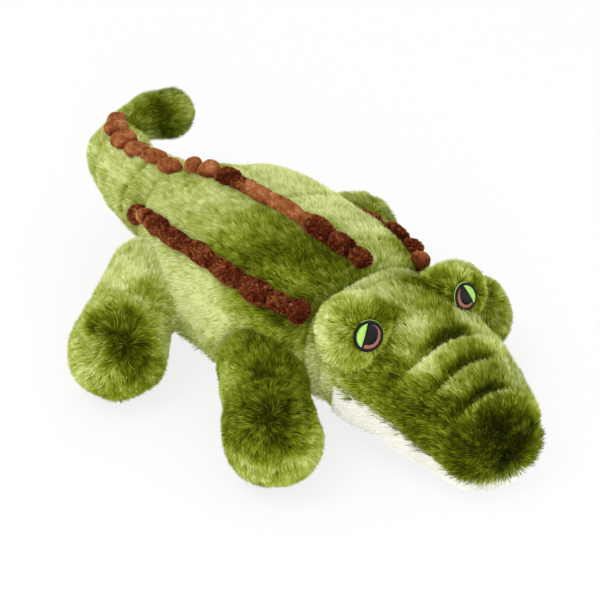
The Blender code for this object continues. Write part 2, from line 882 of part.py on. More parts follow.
tail_level = (torso_point(1, 0).z + torso_point(1, math.pi).z) / 2
tail_start = Vector((0, torso_back + tail_root, tail_level))
straight_share = tail_straight / (tail_straight + tail_bend_radius * tail_bend)
base_run = tail_bend_radius * tail_bend
rise = tail_rise / base_run
full_radius = tail_base_radius + (tail_end_radius - tail_base_radius) * tail_joint_share
mid_radius = tail_base_radius + (full_radius - tail_base_radius) * straight_share
back_heading = math.pi / 2
first_run = curl(tail_start, back_heading, tail_straight, 0, 0, (tail_base_radius, mid_radius),
                 tail_straight_rings)
second_run = curl(first_run[-1][0], back_heading, base_run, tail_bend, rise, (mid_radius, full_radius),
                  tail_rings - tail_straight_rings)
base_end, base_direction, _ = second_run[-1]
base_frames = first_run + second_run[1:-1] + [(base_end, base_direction, tail_waist_radius)]
tip_heading = back_heading - tail_bend
tip_start = base_end + base_direction * tail_joint_length
tip_radii = (tail_waist_radius, tail_end_radius)
tip_run = curl(tip_start, tip_heading, tip_bend_radius * tip_bend, tip_bend, rise, tip_radii, tip_rings)


# The same frames with their radius drawn in by a depth
def drawn_in(frames, depth):
    return [(centre, direction, radius - depth) for centre, direction, radius in frames]


def tip_frames(depth):
    centre, direction, radius = tip_run[-1]
    end = centre + direction * tip_straight
    return drawn_in(tip_run, depth) + round_end(end, direction, radius - depth)


tail_pivot = pivot("tail_pivot", Vector((0, torso_back + tail_root / 2, tail_level)))
bend_pivot = pivot("tail_bend_pivot", base_end + base_direction * tail_joint_length / 2, tail_pivot)
tail_angles = full_turn(tail_columns)
tail = Limb(lambda depth: drawn_in(base_frames, depth))
tip = Limb(tip_frames)
for stem, limb, carrier in (("tail", tail, tail_pivot), ("tail_tip", tip, bend_pivot)):
    piece(f"{stem}_skin", tube(limb, limb.places, tail_angles, pile_cloth), "plush_green", carrier)
    bm = stuffing(limb, limb.places, tail_angles[::2], core_depth)
    piece(f"{stem}_stuffing", bm, "fibrefill_white", carrier)

piece("tail_root", rim_collar(1, lambda angle: tail.point(0, angle), tail_angles), "plush_green")
bend_reaches = (seam_gap, tail_joint_length / 2, tail_joint_length - seam_gap)
bend_sleeve = sleeve(base_end, base_direction, bend_reaches, tail_waist_radius - collar_cloth)
piece("tail_bend_gusset", tube(bend_sleeve, bend_sleeve.places, tail_angles, collar_cloth), "plush_green",
      tail_pivot)

# The ridge begins ahead of the tail's rim, over the soft collar
ridge_start = (tail_start - Vector((0, tail_ridge_overhang, 0)), Vector((0, 1, 0)), tail_base_radius + seam_gap)
ridge_path = Limb(lambda depth: [ridge_start] + base_frames)
bm = ridge(ridge_path, lambda place: tail_ridge_angle, tail_ridge_run_shares, tail_scallop_count, 0,
           tail_ridge_size_shares)
piece("tail_ridge", bm, "plush_brown", tail_pivot)
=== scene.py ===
# Plush alligator for a dog: stuffed hides under a long pile of strands,
# brown scalloped ridges, a short-pile chin and satin-stitched eyes.
import math

import bpy
import numpy as np
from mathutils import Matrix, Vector, kdtree


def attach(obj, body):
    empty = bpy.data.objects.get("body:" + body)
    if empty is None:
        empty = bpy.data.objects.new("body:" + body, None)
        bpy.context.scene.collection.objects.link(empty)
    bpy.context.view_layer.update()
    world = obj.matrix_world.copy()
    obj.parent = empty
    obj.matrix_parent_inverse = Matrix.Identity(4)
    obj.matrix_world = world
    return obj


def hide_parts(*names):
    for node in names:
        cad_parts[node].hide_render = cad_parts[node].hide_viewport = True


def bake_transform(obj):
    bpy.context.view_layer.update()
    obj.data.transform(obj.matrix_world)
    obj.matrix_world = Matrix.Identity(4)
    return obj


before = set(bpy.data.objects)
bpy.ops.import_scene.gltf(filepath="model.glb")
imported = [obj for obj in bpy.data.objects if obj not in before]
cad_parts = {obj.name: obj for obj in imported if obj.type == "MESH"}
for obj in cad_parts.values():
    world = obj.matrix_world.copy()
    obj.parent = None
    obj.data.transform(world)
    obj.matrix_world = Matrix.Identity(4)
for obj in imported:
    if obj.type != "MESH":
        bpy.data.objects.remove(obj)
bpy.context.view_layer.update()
random = np.random.default_rng(11)

mm = 0.001
thin = 1.0


def colour(hexValue):
    # An sRGB hex colour as linear red, green, blue and alpha
    parts = [int(hexValue[k:k + 2], 16) / 255 for k in (1, 3, 5)]
    return [p / 12.92 if p <= 0.04045 else ((p + 0.055) / 1.055) ** 2.4 for p in parts] + [1.0]


# Materials

def addNode(tree, kind, settings=None, inputs=None):
    # Adds a node, sets its properties and fills or links its inputs
    node = tree.nodes.new(kind)
    for name, value in (settings or {}).items():
        setattr(node, name, value)
    for name, value in (inputs or {}).items():
        socket = node.inputs[name]
        if isinstance(value, bpy.types.NodeSocket):
            tree.links.new(value, socket)
        else:
            socket.default_value = value
    return node


def setRamp(node, stops):
    ramp = node.color_ramp
    while len(ramp.elements) < len(stops):
        ramp.elements.new(0.5)
    for element, (place, hexValue) in zip(ramp.elements, stops):
        element.position = place
        element.color = colour(hexValue)


def newMaterial(name):
    made = bpy.data.materials.new(name)
    made.use_nodes = True
    return made, made.node_tree, made.node_tree.nodes["Principled BSDF"]


evenHeight = 0.65  # height along a strand where it shows its own tone


def pileMaterial(name, look):
    # Dyed pile: its chart runs from dark to pale dye across, and from root to tip upwards
    made, tree, shader = newMaterial(name)
    place = addNode(tree, "ShaderNodeUVMap", {"uv_map": "OFBake"})
    parts = addNode(tree, "ShaderNodeSeparateXYZ", None, {"Vector": place.outputs["UV"]})
    shade = addNode(tree, "ShaderNodeMath", {"operation": "MULTIPLY_ADD"}, {
        0: parts.outputs["Y"], 1: look["rootToTip"], 2: parts.outputs["X"]})
    level = addNode(tree, "ShaderNodeMath", {"operation": "SUBTRACT"}, {
        0: shade.outputs[0], 1: look["rootToTip"] * evenHeight})
    dye = addNode(tree, "ShaderNodeValToRGB", None, {"Fac": level.outputs[0]})
    setRamp(dye, look["dye"])
    tree.links.new(dye.outputs["Color"], shader.inputs["Base Color"])
    shader.inputs["Roughness"].default_value = look["roughness"]
    shader.inputs["Specular IOR Level"].default_value = look["specular"]
    return made


threadGrain = 0.8  # size of the unevenness in a thread's dye, in millimetres


def plainMaterial(name, look):
    # Thread of one dye, with a fine grain that shows as slight unevenness
    made, tree, shader = newMaterial(name)
    where = addNode(tree, "ShaderNodeTexCoord")
    grain = addNode(tree, "ShaderNodeTexNoise", None, {
        "Vector": where.outputs["Object"], "Scale": 1 / (threadGrain * mm), "Detail": 3.0})
    shade = addNode(tree, "ShaderNodeValToRGB", None, {"Fac": grain.outputs["Fac"]})
    setRamp(shade, [(0.3, look["shadow"]), (0.7, look["light"])])
    tree.links.new(shade.outputs["Color"], shader.inputs["Base Color"])
    shader.inputs["Roughness"].default_value = look["roughness"]
    shader.inputs["Specular IOR Level"].default_value = look["specular"]
    return made


looks = {
    # Two-tone acrylic plush, brushed: deep green at the root and lime at the tip,
    # so it looks dark where the pile stands towards the eye and pale where it lies flat
    "acrylicPlushGreen": {
        "dye": [(0.0, "#34360A"), (0.12, "#50590A"), (0.28, "#717E10"), (0.48, "#9BA92E"), (0.62, "#B7C355"),
                (0.84, "#DAE38A"), (1.0, "#F4F9B6")],
        "rootToTip": 0.34, "roughness": 0.95, "specular": 0.02},
    # Curled acrylic pile, rust brown, 3 mm: the curls catch light at their ends, which the paler tips show as
    # a painted highlight
    "acrylicPlushRust": {
        "dye": [(0.0, "#40170D"), (0.25, "#6E2D1A"), (0.5, "#99552F"), (0.75, "#BC7846"), (1.0, "#D9A070")],
        "rootToTip": 0.4, "roughness": 0.95, "specular": 0.02},
    # Polyester minky, sheared to 2 mm: even and velvety
    "polyesterMinkyCream": {
        "dye": [(0.0, "#EEECDF"), (0.5, "#FAF9F0"), (1.0, "#FFFFFB")],
        "rootToTip": 0.5, "roughness": 0.95, "specular": 0.02},
}
pile = {name: pileMaterial(name, look) for name, look in looks.items()}
plainLooks = {
    # Rayon embroidery thread, with the soft shine of satin stitch
    "rayonThreadBlack": {"shadow": "#050507", "light": "#101014", "roughness": 0.45, "specular": 0.3},
    "rayonThreadLime": {"shadow": "#9CD050", "light": "#C2EC80", "roughness": 0.4, "specular": 0.4},
    "rayonThreadRust": {"shadow": "#86503E", "light": "#B47A66", "roughness": 0.4, "specular": 0.4},
    # Cotton-wrapped sewing thread, matt
    "cottonThreadGreen": {"shadow": "#3A4C08", "light": "#4F660E", "roughness": 0.7, "specular": 0.3},
}
plain = {name: plainMaterial(name, look) for name, look in plainLooks.items()}


# Smooth values along a table of rows, for a whole array of places

def smooth(table, places):
    table = np.array(table, float)
    spans = len(table) - 1
    reach = np.clip(places, 0, 1) * spans
    first = np.minimum(reach.astype(int), spans - 1)
    t = (reach - first)[..., None]
    a, b, c, d = (table[np.clip(first + k, 0, spans)] for k in (-1, 0, 1, 2))
    return b + 0.5 * t * ((c - a) + (2 * a - 5 * b + 4 * c - d) * t + (3 * b - a - 3 * c + d) * t ** 2)


def unit(vectors):
    return vectors / np.maximum(np.linalg.norm(vectors, axis=-1, keepdims=True), 1e-9)


def bump(distance, reach):
    # A round bump that falls from 1 to 0 over about twice its reach
    return np.exp(-(distance / reach) ** 2)


def near(points, place, reach):
    # A bump over points in metres about a place, which is in millimetres like its reach
    return bump(np.linalg.norm(points / mm - np.array(place), axis=-1), reach)


def step(value, edge, softness):
    # A soft step from 0 below the edge to 1 above it
    return 1 / (1 + np.exp(np.clip((edge - value) / softness, -60, 60)))


def waves(points, scale, seed):
    # Soft unevenness between about -1 and 1, with features of a size in metres
    source = np.random.default_rng(seed)
    total = 0
    for k in range(5):
        direction = unit(source.normal(size=3)) * (2 * math.pi / scale) * source.uniform(0.6, 1.5)
        total = total + np.sin(points @ direction + source.uniform(0, 6.28))
    return total / 2.6


def swirl(points, seed):
    # An uneven drift of the nap, in metres, which breaks up the star at a crown
    return np.stack([waves(points, 19 * mm, seed + k) for k in range(3)], -1) * 16 * mm


def paint(points, base, spots, firmness=6.0):
    # Tone on a grid of points: each spot, in millimetres, pulls it over a reach to a tone of its own
    # The spots hold the plush's light and dark patches: partly its own two-tone dye, partly painted shade and
    # painted highlight where the lie of the pile and the fall of the light make it look darker or paler
    weight = np.ones(points.shape[:-1])
    total = weight * base
    for centre, reach, tone in spots:
        pull = firmness * near(points, centre, reach)
        weight, total = weight + pull, total + pull * tone
    return total / weight


# A form is a grid of points: rows along it and columns around it

class Form:
    def __init__(self, points, closed=True):
        self.points = points
        self.closed = closed

    def around(self):
        if self.closed:
            return np.roll(self.points, -1, 1) - np.roll(self.points, 1, 1)
        return np.gradient(self.points, axis=1)

    def along(self):
        return np.gradient(self.points, axis=0)

    def normals(self):
        return unit(np.cross(self.around(), self.along()))

    def push(self, amount):
        self.points = self.points + self.normals() * amount[..., None]

    def floorAt(self, level):
        self.points[..., 2] = np.maximum(self.points[..., 2], level)


capSteps = 5  # rings of a round cap


def everywhere(form, direction):
    # One direction for the whole grid of a form
    return np.broadcast_to(np.array(direction, float), form.points.shape)


def capped(points, atStart, atEnd, steps=capSteps):
    # Closes a tube at its ends with round caps of given depths in metres
    def cap(ring, beyond, depth):
        middle = ring.mean(0)
        made = []
        for k in range(1, steps + 1):
            angle = math.pi / 2 * k / (steps + 0.4)
            made.append(middle + (ring - middle) * math.cos(angle) + beyond * depth * math.sin(angle))
        return made
    rows = list(points)
    if atStart:
        rows = cap(points[0], unit(points[0].mean(0) - points[1].mean(0)), atStart)[::-1] + rows
    if atEnd:
        rows = rows + cap(points[-1], unit(points[-1].mean(0) - points[-2].mean(0)), atEnd)
    return np.array(rows)


def linkMesh(name, mesh, material):
    mesh.materials.append(material)
    made = bpy.data.objects.new(name, mesh)
    bpy.context.scene.collection.objects.link(made)
    return made


def addMesh(name, verts, faces, material):
    mesh = bpy.data.meshes.new(name)
    mesh.from_pydata([tuple(v) for v in verts], [], faces)
    mesh.shade_smooth()
    mesh.update()
    return linkMesh(name, mesh, material)


def chartMesh(made, tones, heights):
    # Lays a mesh on the shade chart of its pile, by a tone and a height at each of its points
    mesh = made.data
    corners = np.empty(len(mesh.loops), np.int32)
    mesh.loops.foreach_get("vertex_index", corners)
    layer = mesh.uv_layers.new(name="OFBake")
    chart = np.stack([np.clip(tones, 0.02, 0.98)[corners], heights[corners]], -1)
    layer.data.foreach_set("uv", chart.ravel())


hideHeight = 0.3  # the hide takes the dye that its pile has near the root


def hideMesh(name, form, tone, kind="acrylicPlushGreen", second=None, where=None):
    # The cloth under the pile, as one closed skin, with a second cloth where its grid says so
    rows, columns, _ = form.points.shape
    verts = form.points.reshape(-1, 3)
    faces = []
    for r in range(rows - 1):
        for c in range(columns):
            d = (c + 1) % columns
            faces.append((r * columns + c, r * columns + d, (r + 1) * columns + d, (r + 1) * columns + c))
    ends = [form.points[0].mean(0), form.points[-1].mean(0)]
    first, last = len(verts), len(verts) + 1
    for c in range(columns):
        d = (c + 1) % columns
        faces.append((first, d, c))
        faces.append((last, (rows - 1) * columns + c, (rows - 1) * columns + d))
    made = addMesh(name, np.vstack([verts, ends]), faces, pile[kind])
    tones = np.append(np.broadcast_to(tone, (rows, columns)).ravel(), [0.5, 0.5])
    heights = np.full(len(tones), hideHeight)
    if second:
        made.data.materials.append(pile[second])
        chosen = (where[:-1] + where[1:] + np.roll(where[:-1], -1, 1) + np.roll(where[1:], -1, 1)).ravel() > 2
        kinds = np.zeros(len(faces), np.int32)
        kinds[:len(chosen)] = chosen
        made.data.polygons.foreach_set("material_index", kinds)
    chartMesh(made, tones, heights)
    return made


def bladeMesh(name, blades, material):
    # Strands as narrow tapered blades of three lengths, each with its own strip of the shade chart
    root, middle, tip = blades["root"], blades["middle"], blades["tip"]
    side, width, tone = blades["side"], blades["width"], blades["tone"]
    count = len(root)
    verts = np.empty((count, 7, 3))
    for k, (s, share) in enumerate(((0.0, 1.0), (0.38, 0.95), (0.72, 0.7))):
        centre = (1 - s) ** 2 * root + 2 * s * (1 - s) * middle + s ** 2 * tip
        reach = side * (width * share / 2)[:, None]
        verts[:, 2 * k] = centre - reach
        verts[:, 2 * k + 1] = centre + reach
    verts[:, 6] = tip
    verts[..., 2] = np.maximum(verts[..., 2], 0.3 * mm)
    pattern = np.array([0, 1, 3, 2, 2, 3, 5, 4, 4, 5, 6])
    heights = np.array([0.02, 0.02, 0.38, 0.38, 0.72, 0.72, 0.98])
    loops = (np.arange(count)[:, None] * 7 + pattern).ravel()
    starts = (np.arange(count)[:, None] * 11 + np.array([0, 4, 8])).ravel()
    mesh = bpy.data.meshes.new(name)
    mesh.vertices.add(count * 7)
    mesh.vertices.foreach_set("co", verts.ravel())
    mesh.loops.add(count * 11)
    mesh.loops.foreach_set("vertex_index", loops)
    mesh.polygons.add(count * 3)
    mesh.polygons.foreach_set("loop_start", starts)
    chart = np.empty((count, 7, 2))
    chart[..., 0] = np.clip(tone, 0.02, 0.98)[:, None]
    chart[:, ::2, 0] -= 0.004
    chart[:, 1::2, 0] += 0.004
    chart[..., 1] = heights
    layer = mesh.uv_layers.new(name="OFBake")
    layer.data.foreach_set("uv", chart[:, pattern].ravel())
    mesh.update(calc_edges=True)
    mesh.polygons.foreach_set("use_smooth", np.ones(count * 3, bool))
    return linkMesh(name, mesh, material)


def rotate(vectors, axes, angles):
    c, s = np.cos(angles)[:, None], np.sin(angles)[:, None]
    return vectors * c + np.cross(axes, vectors) * s + axes * (vectors * axes).sum(1, keepdims=True) * (1 - c)


def grow(form, coat, where=None, comb=None, tone=0.6, longer=None, lean=None):
    # Strands over a form. where, tone, longer and lean are values on its grid, comb a direction there
    points, normals = form.points, form.normals()
    rows, columns, _ = points.shape
    last = columns if form.closed else columns - 1
    right = (np.arange(last) + 1) % columns
    here, beside = points[:-1, :last], points[:-1][:, right]
    below, across = points[1:, :last], points[1:][:, right]
    area = np.linalg.norm(np.cross(across - here, below - beside), axis=-1) / 2
    weight = np.ones((rows, columns)) if where is None else np.clip(where, 0, 1)
    cellWeight = (weight[:-1, :last] + weight[:-1][:, right] + weight[1:, :last] + weight[1:][:, right]) / 4
    area = area * cellWeight
    count = int(area.sum() / mm ** 2 * coat["density"] * thin)
    picks = random.choice(area.size, size=count, p=area.ravel() / area.sum())
    r, c = np.divmod(picks, last)
    s, t = random.random(count)[:, None], random.random(count)[:, None]
    d = right[c]

    def at(grid):
        grid = grid if grid.ndim == 3 else grid[..., None]
        nearSide = grid[r, c] * (1 - s) + grid[r + 1, c] * s
        farSide = grid[r, d] * (1 - s) + grid[r + 1, d] * s
        return nearSide * (1 - t) + farSide * t

    root, normal = at(points), unit(at(normals))
    run = at(form.along() if comb is None else comb)
    run = unit(run - normal * (run * normal).sum(1, keepdims=True))
    sway = waves(root, coat["swaySize"] * mm, 3) * math.radians(coat["sway"])
    sway = sway + random.normal(size=count) * math.radians(coat["stray"])
    run = rotate(run, normal, sway)
    leaning = np.full(count, coat["lean"]) if lean is None else at(lean)[:, 0]
    leaning = leaning + waves(root, coat["swaySize"] * mm, 5) * 7
    leaning = leaning + random.normal(size=count) * coat["strayLean"]
    leaning = np.radians(np.clip(leaning, 2, 84))[:, None]
    length = coat["length"] * mm * random.uniform(0.75, 1.12, count)
    if longer is not None:
        length = length * at(longer)[:, 0]
    length = length[:, None]
    middle = root + length * 0.5 * (normal * np.cos(leaning * 0.55) + run * np.sin(leaning * 0.55))
    tip = middle + length * 0.5 * (normal * np.cos(leaning * 1.2) + run * np.sin(leaning * 1.2))
    shade = at(np.broadcast_to(tone, (rows, columns)))[:, 0]
    if coat["tuft"]:
        tufts = max(int(count / coat["perTuft"]), 1)
        leaders = random.choice(count, size=tufts, replace=False)
        tree = kdtree.KDTree(tufts)
        for k, leader in enumerate(leaders):
            tree.insert(root[leader], k)
        tree.balance()
        nearest = np.array([tree.find(p)[1] for p in root.tolist()])
        pull = coat["tuft"] * random.uniform(0.4, 1.0, (count, 1))
        tip = tip + (tip[leaders][nearest] - tip) * pull
        middle = middle + (middle[leaders][nearest] - middle) * pull * 0.35
        shade = shade + (random.normal(size=tufts) * coat["tuftTone"])[nearest]
    shade = shade + random.normal(size=count) * coat["strayTone"]
    shade = shade + waves(root, 14 * mm, 8) * coat["waveTone"]
    shade = shade + waves(root, 6 * mm, 9) * coat["waveTone"] * 0.7
    side = unit(np.cross(tip - root, normal))
    side = rotate(side, unit(tip - root), random.normal(size=count) * math.radians(coat["twist"]))
    width = coat["width"] * mm * random.uniform(0.7, 1.25, count)
    return {"root": root, "middle": middle, "tip": tip, "side": side, "width": width, "tone": shade}


def keep(blades, mask):
    return {name: values[mask] for name, values in blades.items()}


longCoat = {
    "density": 1.8, "length": 9.0, "width": 0.43, "lean": 60.0, "sway": 20.0, "swaySize": 60.0, "stray": 12.0,
    "strayLean": 6.0, "tuft": 0.32, "perTuft": 16, "tuftTone": 0.08, "strayTone": 0.10, "waveTone": 0.06,
    "twist": 14.0}
rustCoat = dict(longCoat, density=3.4, length=2.8, width=0.5, lean=30.0, sway=60.0, swaySize=9.0, stray=40.0,
                strayLean=18.0, tuft=0.6, perTuft=12, tuftTone=0.11, strayTone=0.07, waveTone=0.07)
suedeCoat = dict(rustCoat, density=3.0, length=1.9, lean=66.0, sway=20.0, stray=14.0, strayLean=6.0, tuft=0.2,
                 tuftTone=0.05, waveTone=0.12, width=0.5)
minkyCoat = dict(longCoat, density=2.4, length=2.4, width=0.45, lean=50.0, tuft=0.1, tuftTone=0.02,
                 strayTone=0.06, waveTone=0.05)
pieces = []


def finishPiece(made, slot, body=None, between=None, stands=(), padded=None):
    # Places a piece: it follows its body, or is fixed where it lies when it sits between two bodies, and the
    # nodes it stands for are hidden; its slot is not used
    if between:
        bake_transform(made)
    else:
        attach(made, body)
    if stands:
        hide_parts(*stands)
    pieces.append(made)
    return made


def shareOut(blades, name, kind, slot, stands, **where):
    # Makes blades into pieces of at most 36,000 strands
    most = 36000
    parts = max(math.ceil(len(blades["root"]) / most), 1)
    order = np.argsort(blades["root"][:, 1], kind="stable")
    for k, picks in enumerate(np.array_split(order, parts)):
        label = name if parts == 1 else f"{name}_{k + 1}"
        made = bladeMesh(label, keep(blades, picks), pile[kind])
        finishPiece(made, slot, stands=stands if k == 0 else (), **where)


# Torso

torso = {
    "length": 238.0, "halfWidth": 86.0, "height": 132.0, "front": -92.82, "widest": 0.46, "square": 0.05,
    "rows": [
        (0.000, 0.74, 0.900, 0.090), (0.050, 0.87, 0.955, 0.040), (0.140, 0.96, 0.990, 0.005),
        (0.300, 1.00, 1.000, 0.000), (0.500, 1.00, 1.000, 0.000), (0.680, 0.97, 0.980, 0.000),
        (0.820, 0.88, 0.950, 0.020), (0.930, 0.72, 0.905, 0.110), (1.000, 0.53, 0.860, 0.235)],
    "rings": 110, "columns": 168, "backSeam": math.radians(2.5), "bellySeam": math.radians(128),
    "flankSeams": {"right": math.radians(50), "left": math.radians(57)},
    "rumpShare": 0.7, "rumpDrops": {"right": math.radians(24), "left": math.radians(4)},
    "inset": 5.2, "bellyInset": 2.2, "seamDepth": 1.2, "seamReach": 0.12, "sag": 2.0, "capDepth": 12.0,
    # The far hip and the flank behind it stand out a little beyond the ridge
    "bulge": 4.0, "bulges": ((58, 84, 112), (66, 18, 110)), "bulgeReach": 26,
    "throatLift": 28.0, "throatReach": 34,
    # Folds run slantwise over the far half of the back
    "folds": (22.0, -4.0, -30.0, -60.0), "foldSlant": 0.35, "foldFrom": 44, "foldWidth": 3.2, "foldDepth": 1.8,
    "foldMiddle": 46, "foldSpan": 24, "foldFloor": 90}
pressed = 0.5  # how far the belly's curve would pass the floor if it weren't pressed flat
hideClear = 1.2  # how far the hide stays off the floor, on its flattened pile


def flankSeam(side, places):
    # The angle of a flank's seam down from the top, which runs lower over the rump
    late = np.maximum(places - torso["rumpShare"], 0) / (1 - torso["rumpShare"])
    return torso["flankSeams"][side] + torso["rumpDrops"][side] * late ** 2


def torsoPoint(places, angles):
    # Points of the torso in millimetres, for arrays of places along it and angles around it
    row = smooth(torso["rows"], places)
    square = torso["square"]
    across = (np.sin(angles) + square * np.sin(3 * angles)) / (1 - square)
    up = (np.cos(angles) - square * np.cos(3 * angles)) / (1 - square)
    full = torso["height"] + pressed
    top, low = row[..., 2] * full - pressed, row[..., 3] * full - pressed
    middle = low + torso["widest"] * (top - low)
    reach = np.where(up > 0, top - middle, middle - low)
    return np.stack([torso["halfWidth"] * row[..., 1] * across, torso["front"] + row[..., 0] * torso["length"],
                     middle + reach * up], -1)


def gridOf(function, places, angles):
    p, a = np.meshgrid(places, angles, indexing="ij")
    return function(p, a) * mm, p, a


def angleFrom(angles, target):
    return np.abs((angles - target + math.pi) % (2 * math.pi) - math.pi)


print("torso")
turn = np.linspace(0, 2 * math.pi, torso["columns"], endpoint=False)
grid, placeOf, angleOf = gridOf(torsoPoint, np.linspace(0, 1, torso["rings"]), turn)
torsoForm = Form(grid)
downward = np.minimum(angleOf, 2 * math.pi - angleOf)
bellyShare = step(downward, torso["bellySeam"], 0.02)
torsoForm.push(-(torso["inset"] + (torso["bellyInset"] - torso["inset"]) * bellyShare) * mm)
seamAngles = (torso["backSeam"], flankSeam("left", placeOf), -flankSeam("right", placeOf))
seams = sum(bump(angleFrom(angleOf, seam), torso["seamReach"]) for seam in seamAngles)
bulges = sum(near(torsoForm.points, place, torso["bulgeReach"]) for place in torso["bulges"])
torsoForm.push(torso["bulge"] * bulges * mm)
across, along, height = (torsoForm.points[..., k] / mm for k in range(3))
slant = torso["foldSlant"] * (across - torso["foldFrom"])
folds = sum(bump((along - row) + slant, torso["foldWidth"]) for row in torso["folds"])
folds = folds * bump(across - torso["foldMiddle"], torso["foldSpan"]) * (height > torso["foldFloor"])
torsoForm.push(-torso["foldDepth"] * folds * mm)
sag = waves(torsoForm.points, 90 * mm, 21) + waves(torsoForm.points, 38 * mm, 22) * 0.45
torsoForm.push((torso["sag"] * sag * (1 - bellyShare) - torso["seamDepth"] * seams) * mm)
# The throat hangs clear of the floor
throat = bump(torsoForm.points[..., 1] / mm - torso["front"], torso["throatReach"])
torsoForm.floorAt((hideClear + torso["throatLift"] * throat) * mm)
torsoTone = paint(torsoForm.points, 0.66, [
    # right back panel, from the rump to the neck
    ((-40, 104, 120), 24, 0.76), ((-37, 74, 126), 20, 0.76), ((-61, 50, 118), 16, 0.66),
    ((-36, 44, 128), 12, 0.66), ((-60, 12, 120), 14, 0.36), ((-30, 20, 130), 14, 0.40),
    ((-57, -19, 122), 16, 0.18), ((-38, -20, 128), 19, 0.12), ((-14, -8, 131), 13, 0.30),
    ((-22, -45, 130), 20, 0.0), ((-30, -66, 126), 15, 0.08), ((-48, -66, 122), 9, 0.46),
    ((-51, -85, 114), 12, 0.24), ((-12, -80, 126), 13, 0.30), ((-12, 24, 131), 9, 0.56),
    ((-56, -46, 119), 12, 0.24),
    # left back panel
    ((40, 60, 124), 30, 0.98), ((45, 0, 126), 28, 1.0), ((46, -45, 122), 18, 0.92),
    ((30, -85, 118), 14, 0.66), ((60, -70, 110), 14, 0.40),
    # right side panel
    ((-80, 70, 84), 26, 0.92), ((-85, 24, 74), 26, 1.0), ((-86, -8, 72), 14, 0.92),
    ((-82, -22, 100), 9, 0.60), ((-79, -40, 100), 11, 0.26), ((-75, -62, 106), 13, 0.08),
    ((-81, -50, 82), 10, 0.56), ((-71, -78, 96), 13, 0.18), ((-76, -76, 74), 13, 0.32),
    ((-70, -92, 62), 13, 0.66), ((-82, 38, 34), 18, 0.66), ((-84, -20, 40), 18, 0.60),
    # left side panel, which the photograph hides
    ((84, 20, 74), 34, 0.86), ((76, -72, 90), 22, 0.30)])
mottle = waves(torsoForm.points * np.array([0.45, 1.0, 0.6]), 17 * mm, 52) * 0.06
# Painted shade along the seams and in the folds of the back; the mottle is random
torsoTone = torsoTone - 0.10 * seams - 0.16 * folds + mottle
torsoSkin = Form(capped(torsoForm.points, torso["capDepth"] * mm, torso["capDepth"] * mm))
capTone = np.full((capSteps, torso["columns"]), 0.6)
capRows = np.zeros((capSteps, torso["columns"]))
skin = hideMesh("torso_hide", torsoSkin, np.vstack([capTone, torsoTone, capTone]), "acrylicPlushGreen",
                "polyesterMinkyCream", np.vstack([capRows, bellyShare, capRows]))
finishPiece(skin, "plush_green", "torso", stands=("torso_stuffing_front", "torso_stuffing_rear"), padded=0.85)


def insideTorso(points, margin):
    # Where points in metres lie inside the torso, by a margin in millimetres
    flat = points / mm
    share = (flat[:, 1] - torso["front"]) / torso["length"]
    rowPlaces = np.linspace(0, 1, 200)
    table = smooth(torso["rows"], rowPlaces)
    place = np.interp(share, table[:, 0], rowPlaces)
    row = smooth(torso["rows"], place)
    top, low = row[:, 2] * torso["height"], row[:, 3] * torso["height"]
    middle = low + torso["widest"] * (top - low)
    reach = np.where(flat[:, 2] > middle, top - middle, middle - low)
    size = ((flat[:, 0] / (torso["halfWidth"] * row[:, 1] * 1.06 - margin)) ** 2
            + ((flat[:, 2] - middle) / (reach * 1.04 - margin)) ** 2)
    return (size < 1) & (share > margin / torso["length"]) & (share < 1 - margin / torso["length"])


# Head

head = {
    "length": 151.0, "halfWidth": 73.0, "height": 127.0, "back": -106.82, "turned": math.radians(3),
    "rows": [
        (0.000, 0.00, 0.235, 0.235, 0.235),
        (0.010, 0.23, 0.330, 0.215, 0.115),
        (0.038, 0.42, 0.405, 0.195, 0.035),
        (0.082, 0.55, 0.470, 0.190, 0.005),
        (0.140, 0.63, 0.532, 0.200, 0.000),
        (0.212, 0.67, 0.596, 0.220, 0.010),
        (0.282, 0.70, 0.662, 0.245, 0.015),
        (0.355, 0.75, 0.718, 0.270, 0.030),
        (0.430, 0.79, 0.766, 0.300, 0.045),
        (0.510, 0.83, 0.804, 0.330, 0.065),
        (0.610, 0.90, 0.855, 0.365, 0.095),
        (0.720, 0.97, 0.915, 0.390, 0.110),
        (0.840, 0.99, 0.985, 0.410, 0.115),
        (0.940, 0.92, 0.990, 0.430, 0.110),
        (1.000, 0.84, 0.955, 0.440, 0.110)],
    "rings": 140, "columns": 168, "grooveRows": (5, 7, 9), "grooveFrom": math.radians(-34),
    "grooveTo": math.radians(31), "grooveDepth": 4.6, "rollRise": 1.2,
    "mouthAtNose": 0.155, "mouthAtNeck": 0.610, "mouthLift": 4.5,
    "mouthLiftAt": 92.0, "mouthLiftReach": 36, "rollRows": (4, 6, 8), "firstPlace": 0.004,
    "shoulder": 9.0, "shoulderAt": math.radians(58), "shoulderReach": math.radians(27),
    "hollows": ((-26, -150, 116), (33, -132, 114)), "hollowReach": 11, "hollowDepth": 2.5,
    "tip": (0, -248, 50),
    "throat": 0.84, "jowlLift": 32.0, "jowlFrom": 134.0, "inset": 5.2, "chinInset": 2.0}


def headPoint(places, angles):
    row = smooth(head["rows"], places)
    full = head["height"] + pressed
    top, middle, low = (row[..., k] * full - pressed for k in (2, 3, 4))
    reach = np.where(np.cos(angles) > 0, top - middle, middle - low)
    ahead = (1 - row[..., 0]) * head["length"]
    return np.stack([head["halfWidth"] * row[..., 1] * np.sin(angles) + math.tan(head["turned"]) * ahead,
                     head["back"] - ahead, middle + reach * np.cos(angles)], -1)


